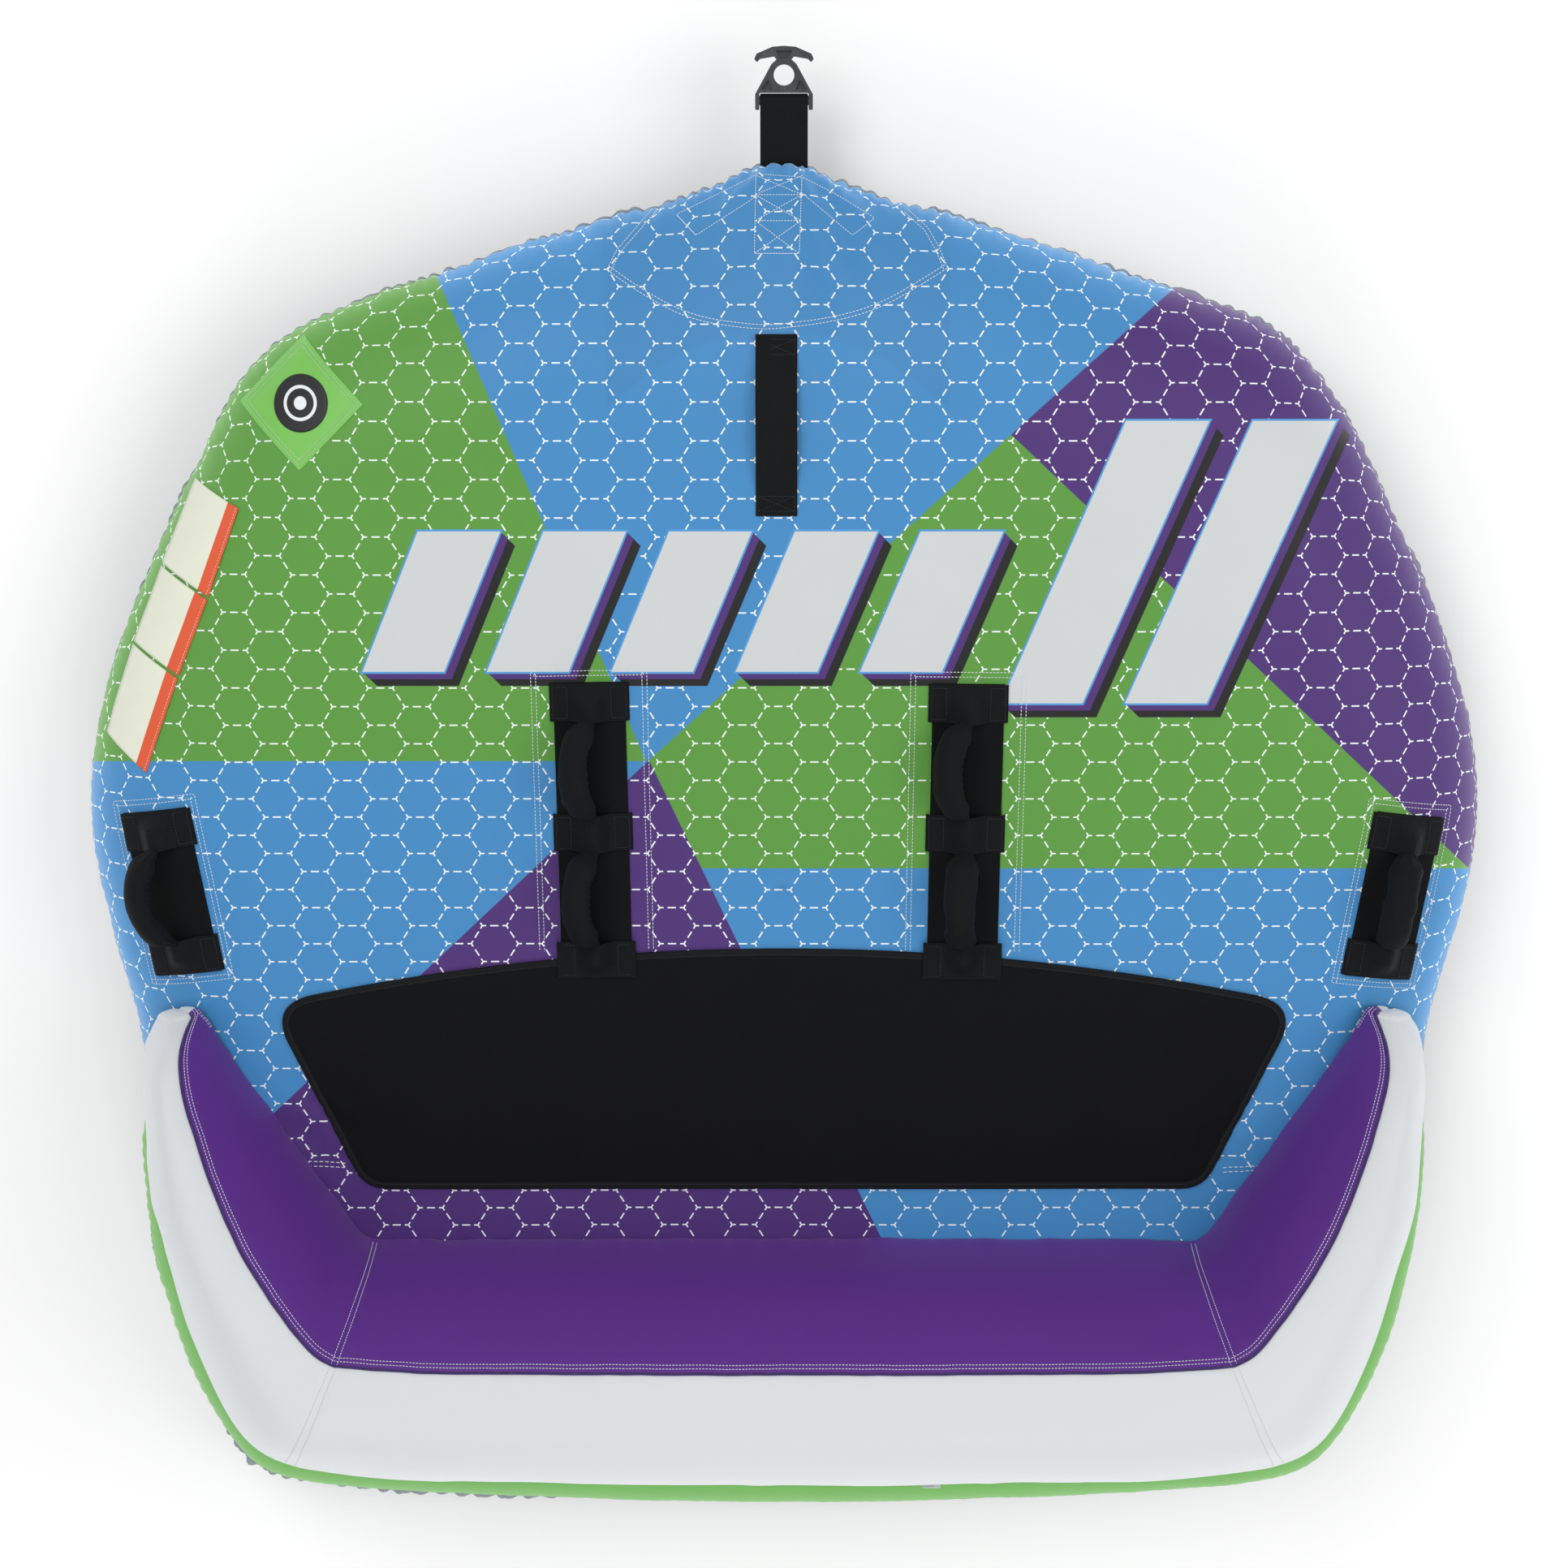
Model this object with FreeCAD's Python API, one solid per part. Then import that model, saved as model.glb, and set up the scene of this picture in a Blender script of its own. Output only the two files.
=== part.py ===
"""Three-rider deck tube for towing behind a boat: an inflated hull in a sewn nylon cover, a U-shaped
inflated backrest on its rear half, webbing handles with foam grips, and a tow strap with a rope connector.

Frame: millimetres, origin at the middle of the flat underside, +Z up, +Y forwards (towards the tow strap),
+X to the rider's right. Every function below makes one sub-assembly and returns {node name: shape}.
"""

import FreeCAD, Part
import math
import os

from FreeCAD import Placement, Rotation
from FreeCAD import Vector as V

# ---- driving dimensions, in mm ------------------------------------------------------------------------------

HULL_THICK = 250.0  # inflated thickness of the deck
MID = HULL_THICK / 2  # height of the perimeter seam
RIM_WIDTH = 190.0  # how far the rounded rim reaches in from the perimeter seam
COVER = 1.2  # cover fabric
AIR_GAP = 2.4  # between the cover and the bladder, where the valve flanges and webbing lie
BLADDER = 1.0  # PVC film
CLEAR = 0.4  # between neighbouring soft pieces
WEB_REAR_Y = -640.0  # rear ends of the tension webs inside the hull

# Right half of the perimeter seam seen from above, from the nose round to the middle of the rear edge.
OUTLINE = [
    (28, 880),
    (110, 846),
    (280, 798),
    (450, 742),
    (600, 684),
    (690, 590),
    (768, 444),
    (848, 264),
    (885, 75),
    (862, -92),
    (832, -240),
    (840, -380),
    (828, -540),
    (788, -690),
    (738, -790),
    (655, -842),
    (450, -864),
    (225, -874),
    (0, -878),
]
NOSE_POINTS = 2  # outline points that belong to the nose, where the cover is pulled to a flat tip
NOSE_FLATTEN = 0.75  # extra inset of those points away from the seam

# Backrest, right half from the arm's tip to the middle of the rear: where its inner wall meets the deck (x, y),
# the piped top seam (x, y, z), and where its outer wall meets the side panel (x, y, z).
BACKREST = [
    ((733, -150), (739, -153, 270), (776, -168, 227)),
    ((712, -190), (741, -196, 336), (813, -238, 188)),
    ((676, -248), (716, -272, 388), (823, -325, 186)),
    ((625, -325), (676, -360, 430), (816, -428, 191)),
    ((575, -400), (620, -450, 463), (792, -545, 202)),
    ((545, -446), (574, -508, 480), (760, -682, 196)),
    ((534, -458), (558, -525, 484), (712, -761, 202)),
    ((526, -464), (548, -532, 485), (649, -789, 216)),
    ((440, -462), (447, -537, 488), (519, -805, 222)),
    ((330, -461), (330, -538, 489), (385, -811, 221)),
    ((170, -460), (170, -539, 490), (193, -815, 219)),
    ((0, -460), (0, -539, 490), (0, -817, 219)),
]
CORNER = 7  # index of the backrest station at the rear corner
TOP_SEAM = 2  # index of the top seam among the points of a backrest cross-section
CREST_RISE = 12.0  # how far the outer panel rises above the top seam
SEAM_GAP = 1.6  # between the rear panels and the side panels at the corners

WEB = 50.0  # wide webbing, used crosswise at the handle ends
HANDLE_PITCH = 163.0  # between the end tabs of one handle
TAB = (98.0, 47.0, 2.0)  # end tab: across, along, thick
PAD_W = 88.0  # knuckle pad
PAD_T = 4.0
PIN_Z = 14.0  # height of a grip's swing axis above the cover
PIN_R = 6.0  # rolled webbing end
PIN_CLEAR = 0.1
GRIP_R = 17.0
GRIP_BOW = 38.0  # how far the grip arches away from its swing axis
GRIP_SPAN = 120.0  # between the ends of the arch
SIDE_HANDLE_INSET = 117.0  # of the side handles' middles from the perimeter seam
SIDE_HANDLE_LIFT = 1.5  # the flat side pads bridge the rim's curve

# Handles: centre (x, y), turn about the deck's normal, side slope of the deck, and the grips' lean at rest.
HANDLES = {
    "left": {"at": (-763.0, -9.0), "turn": 9.5, "roll": -15.0, "lean": [-36.0]},
    "centre_left": {"at": (-236.0, 72.0), "turn": 0.8, "roll": 0.0, "lean": [-30.0, -32.0]},
    "centre_right": {"at": (224.0, 70.0), "turn": -0.6, "roll": 0.0, "lean": [-42.0, -12.0]},
    "right": {"at": (759.0, -14.0), "turn": -9.0, "roll": 15.0, "lean": [-25.0]},
}

SEAT_PAD_T = 4.0
SEAT_BINDING_W = 9.0
TOW_WEB = 58.0  # tow strap webbing
TOW_WEB_T = 2.5
TOW_ROOT_Y = 890.0  # strap's swing axis, just ahead of the nose
TOW_BAR_Y = 954.0  # connector's bar
TOW_BAR_R = 5.5
TOW_EYE_Y = 984.0
TOW_EYE_R = 12.5
CONNECTOR_T = 14.0
CONNECTOR_POCKET = 5.0  # depth of the moulded pockets beside the eye and in the head

VALVE_RIM_ANGLE = 22.0  # how far below the perimeter seam the hull's valve sits
VALVE_NECK_R = 20.0
VALVE_THROAT_R = 14.0
VALVE_FLANGE_R = 30.0
VALVE_SCALE = {"hull": 1.0, "backrest": 0.55}
BACKREST_VALVE_AT = 0.86  # share of the way down the outer panel

ZIP_HALF = 240.0  # half the length of the rear zip
ZIP_Z = 92.0
ZIP_PIVOT = 10.6  # height of the pull's hinge above the cover

# ---- shared geometry ----------------------------------------------------------------------------------------


def mirrored(points):
    """The right half of a closed outline plus its mirror image, in order round the outline."""
    left = [(-x, *rest) for x, *rest in reversed(points) if x > 0]
    return [tuple(p) for p in points] + left


def closed_spline(points):
    """A closed smooth wire through the points, with the same spacing of knots for every section of a loft."""
    curve = Part.BSplineCurve()
    steps = [i / len(points) for i in range(len(points) + 1)]
    curve.interpolate(Points=[V(*p) for p in points], Parameters=steps, PeriodicFlag=True)
    return Part.Wire([curve.toShape()])


def open_spline(points):
    curve = Part.BSplineCurve()
    steps = [i / (len(points) - 1) for i in range(len(points))]
    curve.interpolate(Points=[V(*p) for p in points], Parameters=steps)
    return curve.toShape()


def rim_inset(angle):
    """How far the rim has drawn in from the perimeter seam, by angle round it: 0 at the seam, 90 on the deck."""
    return RIM_WIDTH * (1 - math.cos(angle))


def rim_height(inset):
    """Height of the cover at a distance in from the perimeter seam."""
    if inset >= RIM_WIDTH:
        return HULL_THICK
    return MID + MID * math.sqrt(1 - (1 - inset / RIM_WIDTH) ** 2)


def rim_inset_at(height):
    return RIM_WIDTH * (1 - math.sqrt(1 - ((height - MID) / MID) ** 2))


def rim_section(angle, grow, side, seam_gap=0.0):
    """The hull's outline at one angle round its rim. Side is 1 for the deck half and -1 for the underside."""
    inset = rim_inset(angle) - grow * math.cos(angle)
    z = MID + side * (seam_gap + (MID + grow - seam_gap) * math.sin(angle))
    ring = []
    for i, (x, y) in enumerate(OUTLINE):
        extra = NOSE_FLATTEN * rim_inset(angle) if i < NOSE_POINTS else 0.0
        shrink = 1 - (inset + extra) / math.hypot(x, y)
        ring.append((x * shrink, y * shrink, z))
    rear = len(ring) - 1
    whole = mirrored(ring)
    return closed_spline(whole[rear:] + whole[:rear])


RIM_ANGLES = [math.radians(a) for a in (0, 18, 36, 54, 72, 90)]


def rim_surface(grow, side, seam_gap=0.0):
    sections = [rim_section(a, grow, side, seam_gap) for a in RIM_ANGLES]
    return Part.makeLoft(sections, False, False).Faces[0], sections


def ring_face(outer, inner):
    return Part.makeFace([outer, inner], "Part::FaceMakerBullseye")


def solid_from(faces):
    shell = Part.makeShell(faces)
    shell.sewShape(0.02)
    solid = Part.makeSolid(shell.Shells[0] if shell.Shells else shell)
    if solid.Volume < 0:
        solid.reverse()
    return solid


def hull_half(outer, inner, side, seam_gap=0.2):
    """Upper or lower half of a thin hull-shaped skin, between two amounts of growth."""
    out_face, out_rings = rim_surface(outer, side, seam_gap)
    in_face, in_rings = rim_surface(inner, side, seam_gap)
    edge = ring_face(out_rings[0], in_rings[0])
    return solid_from([out_face, in_face, edge, Part.Face(out_rings[-1]), Part.Face(in_rings[-1])])


def polygon_prism(points, z0, z1):
    ring = [V(x, y, z0) for x, y in points]
    wire = Part.makePolygon(ring + ring[:1])
    return Part.Face(wire).extrude(V(0, 0, z1 - z0))


def nearest(edge, edges):
    return min(edges, key=lambda e: (e.CenterOfMass - edge.CenterOfMass).Length)


def between_faces(a, b):
    """The solid between two matching open surfaces."""
    sides = [Part.makeRuledSurface(e, nearest(e, b.Edges)) for e in a.Edges]
    return solid_from([a, b] + sides)


def solids_of(shape):
    """One solid, or a compound when the shape has several."""
    kept = [s for s in shape.Solids if s.Volume > 50]
    return kept[0] if len(kept) == 1 else Part.makeCompound(kept)


# ---- hull ---------------------------------------------------------------------------------------------------


def hull_valve_frame():
    """Where the hull's valve sits, low on the rear rim: a point on the cover and the outward direction."""
    angle = math.radians(VALVE_RIM_ANGLE)
    x, y = -OUTLINE[-3][0] * 0.75, OUTLINE[-3][1]
    point = V(x, y - 4.5 + rim_inset(angle), MID - MID * math.sin(angle))
    out = V(0, -math.cos(angle) / RIM_WIDTH, -math.sin(angle) / MID)
    return point, out.normalize()


def valve_hole(frame, radius):
    point, out = frame
    return Part.makeCylinder(radius, 60, point - out * 30, out)


def side_panel_region():
    """Upright prism over the part of the rim, behind the arms' tips, that the plain side panel covers."""
    right = [(x, y) for _, _, (x, y, z) in BACKREST[1:]]
    first_y = right[0][1]
    ring = mirrored([(1000, -1000), (1000, first_y)] + right)
    return polygon_prism(ring, MID - 5, HULL_THICK + 20)


def hull_pieces():
    upper = hull_half(0.0, -COVER, 1)
    region = side_panel_region()
    frame = hull_valve_frame()
    film_out = -(COVER + AIR_GAP)
    film_in = film_out - BLADDER
    neck_hole = valve_hole(frame, VALVE_NECK_R + 0.5)

    webs = []
    for x, front in ((0, 500), (200, 590), (400, 550), (600, 330)):
        for side in (-1, 1) if x else (1,):
            corner = V(side * x - 0.5, WEB_REAR_Y, 0.5 - film_in)
            webs.append(Part.makeBox(1.0, front - WEB_REAR_Y, HULL_THICK + 2 * film_in - 1, corner))

    band = ring_face(rim_section(0, 2.0, 1), rim_section(0, CLEAR, 1))
    tape = band.extrude(V(0, 0, 18)).translated(V(0, 0, -9))
    nose_gap = Part.makeBox(70, 60, 60, V(-35, 850, MID - 30))
    return {
        "top_cover": solids_of(upper.cut(region)),
        "rear_side_panel": solids_of(upper.common(region)),
        "bottom_cover": solids_of(hull_half(0.0, -COVER, -1).cut(neck_hole)),
        "perimeter_seam_tape": solids_of(tape.cut(nose_gap)),
        "hull_bladder_top": hull_half(film_out, film_in, 1),
        "hull_bladder_bottom": solids_of(hull_half(film_out, film_in, -1).cut(neck_hole)),
        "hull_bladder_webs": Part.makeCompound(webs),
    }


# ---- backrest -----------------------------------------------------------------------------------------------


def backrest_profile(station, inset=0.0):
    """Points of one cross-section: 0-2 up the inner wall to the top seam, 2-6 over the outer bulge and down."""
    (ix, iy), (sx, sy, sz), (ox, oy, oz) = station
    rise = sz - oz
    lift = CREST_RISE * min(1.0, rise / 200)

    def outer(share, z):
        return V(sx + (ox - sx) * share, sy + (oy - sy) * share, z)

    points = [
        V(ix, iy, HULL_THICK + CLEAR),
        V(ix + (sx - ix) * 0.42, iy + (sy - iy) * 0.42, HULL_THICK + (sz - HULL_THICK) * 0.5),
        V(sx, sy, sz),
        outer(0.28, sz + lift),
        outer(0.60, oz + rise * 0.78),
        outer(0.81, oz + rise * 0.40),
        outer(1.0, oz),
    ]
    middle = outer(0.30, oz + rise * 0.5)
    return [p + (middle - p).normalize() * inset for p in points]


def backrest_floor(station, inset):
    """Points from the outer wall back to the inner wall, following the deck just above it."""
    profile = backrest_profile(station, inset)
    start, end = profile[-1], profile[0]
    reach = math.hypot(end.x - start.x, end.y - start.y)
    first = rim_inset_at(station[2][2])
    points = []
    for share in (0.12, 0.3, 0.5, 0.75):
        p = start + (end - start) * share
        p.z = rim_height(first + share * reach) + 2.0 + inset
        points.append(p)
    return [start + V(0, 0, 2)] + points + [end + V(0, 0, 2)]


def onto_plane(points, a, b):
    """The points moved sideways onto the upright plane through a and b."""
    along = V(b.x - a.x, b.y - a.y, 0).normalize()
    side = V(-along.y, along.x, 0)
    return [p - side * (p - a).dot(side) for p in points]


def lengthwise(rows):
    """A smooth surface through curves that run along the backrest."""
    return Part.makeLoft([Part.Wire([open_spline(row)]) for row in rows], False, False).Faces[0]


def panel(stations, first, last):
    """One sewn panel of the backrest, from one row of profile points to another."""
    skins = []
    for inset in (0.0, COVER):
        profiles = [backrest_profile(s, inset) for s in stations]
        rows = [[p[k] for p in profiles] for k in range(first, last + 1)]
        if last == TOP_SEAM:
            rows[-1] = [p - V(0, 0, CLEAR) for p in rows[-1]]
        skins.append(lengthwise(rows))
    return between_faces(*skins)


def backrest_valve_frame():
    station = BACKREST[-2]
    profile = open_spline(backrest_profile(station)[2:])
    u = profile.FirstParameter + BACKREST_VALVE_AT * (profile.LastParameter - profile.FirstParameter)
    along = profile.tangentAt(u)
    out = V(0, along.z, -along.y)
    if out.z < 0:
        out = -out
    return profile.valueAt(u), out.normalize()


def closed_skin(stations, inset):
    """The backrest's whole skin as a shell: inner wall, outer wall, floor and two ends."""
    profiles = [backrest_profile(s, inset) for s in stations]
    floors = [backrest_floor(s, inset) for s in stations]
    for profile, floor in zip(profiles, floors):
        profile[0] = floor[-1]
        profile[-1] = floor[0]
    for k in (0, -1):
        profiles[k], floors[k] = (onto_plane(p, profiles[k][0], profiles[k][-1]) for p in (profiles[k], floors[k]))
    inner = lengthwise([[p[k] for p in profiles] for k in (0, 1, 2)])
    outer = lengthwise([[p[k] for p in profiles] for k in (2, 3, 4, 5, 6)])
    under = lengthwise([[f[k] for f in floors] for k in range(len(floors[0]))])
    ends = []
    for profile in (profiles[0], profiles[-1]):
        centre = (profile[0] + profile[2] + profile[-1]) / 3
        rim = [min(f.Edges, key=lambda e: (e.CenterOfMass - centre).Length) for f in (inner, outer, under)]
        ends.append(Part.Face(Part.Wire(Part.__sortEdges__(rim))))
    return solid_from([inner, outer, under] + ends)


def backrest_pieces():
    right = BACKREST
    left = [tuple((-p[0], *p[1:]) for p in station) for station in right]
    rear_end = tuple((p[0] - SEAM_GAP, *p[1:]) for p in right[CORNER])
    rear_right = [rear_end] + right[CORNER + 1 :]
    rear_left = [tuple((-p[0], *p[1:]) for p in station) for station in rear_right[:-1]]
    groups = {
        "right": right[: CORNER + 1],
        "left": left[: CORNER + 1],
        "rear": rear_right + rear_left[::-1],
    }
    pieces = {}
    for name, stations in groups.items():
        pieces[f"backrest_inner_{name}"] = panel(stations, 0, TOP_SEAM)
        pieces[f"backrest_outer_{name}"] = panel(stations, TOP_SEAM, 6)
    frame = backrest_valve_frame()
    hole = valve_hole(frame, VALVE_NECK_R * VALVE_SCALE["backrest"] + 0.5)
    pieces["backrest_outer_rear"] = solids_of(pieces["backrest_outer_rear"].cut(hole))

    arms = right[1:] + left[1:-1][::-1]
    gap = COVER + 2 * AIR_GAP
    skins = [closed_skin(arms, inset) for inset in (gap, gap + BLADDER)]
    inside = skins[1].Shells[0]
    inside.reverse()
    film = Part.makeSolid(Part.makeCompound([skins[0].Shells[0], inside]))
    pieces["backrest_bladder"] = solids_of(film.cut(hole))
    return pieces


# ---- deck fittings ------------------------------------------------------------------------------------------


def seat_blank(grow, height):
    """The seat pad's outline, grown by a margin, as a plate on the deck. The front edge is a shallow arch."""
    base = HULL_THICK + CLEAR
    front = Part.Arc(V(-646, -150, base), V(0, -78, base), V(646, -150, base)).toShape()
    ring = [V(646, -150, base), V(532, -393, base), V(-532, -393, base), V(-646, -150, base)]
    lines = [Part.makeLine(a, b) for a, b in zip(ring, ring[1:])]
    plate = Part.Face(Part.Wire([front] + lines)).extrude(V(0, 0, height))
    upright = [e for e in plate.Edges if abs(e.tangentAt(e.FirstParameter).z) > 0.99]
    plate = plate.makeFillet(38, upright)
    if not grow:
        return plate
    under = [f for f in plate.Faces if abs(f.normalAt(0, 0).z) > 0.99 and f.CenterOfMass.z < base + 1][0]
    return Part.Face(under.OuterWire.makeOffset2D(grow)).extrude(V(0, 0, height))


def seat_pad():
    """Neoprene pad on the seat with its edge binding."""
    core = seat_blank(-SEAT_BINDING_W, SEAT_PAD_T)
    core_gap = seat_blank(CLEAR / 2 - SEAT_BINDING_W, SEAT_PAD_T + 1)
    return {"seat_pad": core, "seat_pad_binding": seat_blank(0, SEAT_PAD_T).cut(core_gap)}


def draped(region, low, high):
    """A thin piece lying on the rim's upper half inside an upright region, between two heights off the cover."""
    surface = rim_surface(low, 1)[0].common(region)
    return solids_of(surface.extrude(V(0, 0, high - low)))


def deck_patches():
    """Emblem patch on the front left shoulder, care labels on the left rim, and the front webbing strap."""
    side = 110.0
    half = side / math.sqrt(2)
    cx, cy = -589.0, 593.0
    diamond = [(cx, cy + half), (cx - half, cy), (cx, cy - half), (cx + half, cy)]
    patch = draped(polygon_prism(diamond, 150, 300), CLEAR, CLEAR + 1.0)

    outer = [(-725, 503), (-768, 396), (-807, 299), (-847, 184)]
    inner = [(-661, 471), (-703, 360), (-743, 263), (-790, 140)]
    labels = []
    for i in range(3):
        a, b, c, d = (V(*outer[i]), V(*outer[i + 1]), V(*inner[i + 1]), V(*inner[i]))
        gap = (b - a).normalize() * 2.5
        quad = [a + gap, b - gap, c - gap, d + gap]
        region = polygon_prism([(p.x, p.y) for p in quad], 130, 300)
        labels += draped(region, CLEAR, CLEAR + 0.8).Solids

    x, y0, y1, bow, thick = -9.0, 677.0, 465.0, 14.0, 2.5
    z = HULL_THICK + CLEAR
    under = Part.Arc(V(x, y0, z), V(x, (y0 + y1) / 2, z + bow), V(x, y1, z)).toShape()
    over = Part.Arc(V(x, y0, z + thick), V(x, (y0 + y1) / 2, z + bow + thick), V(x, y1, z + thick)).toShape()
    ends = [Part.makeLine(V(x, y, z), V(x, y, z + thick)) for y in (y0, y1)]
    face = Part.Face(Part.Wire(Part.__sortEdges__([under, over] + ends)))
    strap = face.extrude(V(WEB, 0, 0)).translated(V(-WEB / 2, 0, 0))
    return {"emblem_patch": patch, "care_labels": Part.makeCompound(labels), "front_grab_strap": strap}


def tow_harness():
    """Webbing under the nose of the cover that carries the tow load: one centre leg and two splayed legs."""
    low = -(COVER + 0.3 + 1.6)
    high = -(COVER + 0.3)
    legs = [polygon_prism([(-27, 850), (27, 850), (27, 752), (-27, 752)], MID, 300)]
    for side in (-1, 1):
        ring = [(31, 842), (62, 850), (128, 800), (104, 778), (31, 818)]
        legs.append(polygon_prism([(side * x, y) for x, y in ring], MID, 300))
    solids = []
    for leg in legs:
        solids += draped(leg, low, high).Solids
    return {"tow_harness_legs": Part.makeCompound(solids)}


# ---- handles ------------------------------------------------------------------------------------------------


def handle_place(spec):
    """From a handle's own flat frame to its place on the deck."""
    x, y = spec["at"]
    roll = spec["roll"]
    z = (rim_height(SIDE_HANDLE_INSET) + SIDE_HANDLE_LIFT if roll else HULL_THICK) + CLEAR
    turn = Rotation(V(0, 0, 1), spec["turn"])
    tilt = Rotation(V(0, 1, 0), roll)
    return Placement(V(x, y, z), turn.multiply(tilt))


def tab_with_tunnel(y):
    """Webbing sewn across the end of a grip, raised in the middle over the grip's rolled end."""
    across, along, thick = TAB
    plate = Part.makeBox(across, along, thick, V(-across / 2, y - along / 2, PAD_T + 0.3))
    outer_r = PIN_R + PIN_CLEAR + thick
    tunnel = Part.makeCylinder(outer_r, along, V(0, y - along / 2, PIN_Z), V(0, 1, 0))
    foot = Part.makeBox(2 * outer_r, along, PIN_Z - PAD_T - 0.3, V(-outer_r, y - along / 2, PAD_T + 0.3))
    hole = Part.makeCylinder(PIN_R + PIN_CLEAR, along, V(0, y - along / 2, PIN_Z), V(0, 1, 0))
    return plate.fuse([tunnel, foot]).cut(hole).removeSplitter()


def bow_circle():
    half = GRIP_SPAN / 2
    radius = (half**2 + GRIP_BOW**2) / (2 * GRIP_BOW)
    return radius, GRIP_BOW - radius


def grip_arc(reach, rise=0.0):
    """The grip's centre line as an arc in the YZ plane over the swing axis, from -reach to +reach along Y."""
    radius, centre = bow_circle()
    ends = centre + math.sqrt(radius**2 - reach**2)
    return Part.Arc(V(0, -reach, ends + rise), V(0, 0, GRIP_BOW + rise), V(0, reach, ends + rise)).toShape()


def swept(path, profile_radius, hollow_radius=0.0):
    start = path.valueAt(path.FirstParameter)
    along = path.tangentAt(path.FirstParameter)

    def ring(radius):
        circle = Part.Wire([Part.Circle(start, along, radius).toShape()])
        return Part.Wire([path]).makePipeShell([circle], True, True)

    solid = ring(profile_radius)
    return solid.cut(ring(hollow_radius)) if hollow_radius else solid


def grip_pieces(y):
    """Sleeve, foam and webbing of one grip standing upright over its swing axis, centred at y."""
    reach = GRIP_SPAN / 2
    core_r = 5.0
    sleeve_reach = 46.0
    arc = grip_arc(sleeve_reach)
    foam_arc = grip_arc(sleeve_reach - 4)
    sleeve = swept(arc, GRIP_R, GRIP_R - 1.0)
    foam = swept(foam_arc, GRIP_R - 1.2, core_r + CLEAR)
    neck_y = reach - 8
    core_arc = grip_arc(neck_y)
    core = swept(core_arc, core_r)
    neck_top = core_arc.Vertexes[0].Z
    pin_len = HANDLE_PITCH / 2 - 1 - neck_y
    for side in (-1, 1):
        out = V(0, side, 0)
        foot = V(0, side * neck_y, 0)
        core = core.fuse(Part.makeCylinder(PIN_R, pin_len, foot, out))
        core = core.fuse(Part.makeSphere(PIN_R, foot))
        core = core.fuse(Part.makeCylinder(core_r, neck_top, foot))
        core = core.fuse(Part.makeSphere(core_r, foot + V(0, 0, neck_top)))
    up = V(0, y, PIN_Z)
    return [s.translated(up) for s in (sleeve, foam, core)]


def handle_pieces():
    pieces = {}
    seat = seat_blank(CLEAR, 2 * PAD_T)
    for name, spec in HANDLES.items():
        count = len(spec["lean"])
        place = handle_place(spec)
        pad_len = count * HANDLE_PITCH + TAB[1] + 2
        pad = Part.makeBox(PAD_W, pad_len, PAD_T, V(-PAD_W / 2, -pad_len / 2, 0))
        ends = [(i - count / 2) * HANDLE_PITCH for i in range(count + 1)]
        tabs = Part.makeCompound([tab_with_tunnel(y) for y in ends])
        for shape in (pad, tabs):
            shape.Placement = place
        pieces[f"knuckle_pad_{name}"] = pad.cut(seat)
        pieces[f"handle_tabs_{name}"] = tabs
        for i, lean in enumerate(spec["lean"]):
            y = -(i - (count - 1) / 2) * HANDLE_PITCH
            label = name if count == 1 else name + ("_front", "_back")[i]
            for part, shape in zip(("sleeve", "foam", "webbing"), grip_pieces(y)):
                shape.rotate(V(0, y, PIN_Z), V(0, 1, 0), lean)
                shape.Placement = place.multiply(shape.Placement)
                pieces[f"grip_{part}_{label}"] = shape
    return pieces


# ---- tow strap and rope connector ---------------------------------------------------------------------------


def teardrop(y0, r0, y1, r1):
    """The outline of two circles and their outer tangents in the YZ plane, as a face through the seam's height."""
    gap = y1 - y0
    lean = math.asin((r0 - r1) / gap)
    up0 = V(0, y0 + r0 * math.sin(lean), r0 * math.cos(lean))
    up1 = V(0, y1 + r1 * math.sin(lean), r1 * math.cos(lean))
    low0, low1 = V(0, up0.y, -up0.z), V(0, up1.y, -up1.z)
    edges = [
        Part.makeLine(up0, up1),
        Part.Arc(up1, V(0, y1 + r1, 0), low1).toShape(),
        Part.makeLine(low1, low0),
        Part.Arc(low0, V(0, y0 - r0, 0), up0).toShape(),
    ]
    return Part.Face(Part.Wire(edges))


def tow_strap():
    """Webbing folded round the connector's bar and sewn back on itself at the nose."""
    loop_r = TOW_BAR_R + 0.3
    outer = teardrop(TOW_ROOT_Y, 3.4, TOW_BAR_Y, loop_r + TOW_WEB_T).extrude(V(TOW_WEB, 0, 0))
    inner = teardrop(TOW_ROOT_Y + 22, 0.6, TOW_BAR_Y, loop_r).extrude(V(TOW_WEB, 0, 0))
    strap = outer.cut(inner)
    return {"tow_strap": strap.translated(V(-TOW_WEB / 2, 0, MID))}


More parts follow.
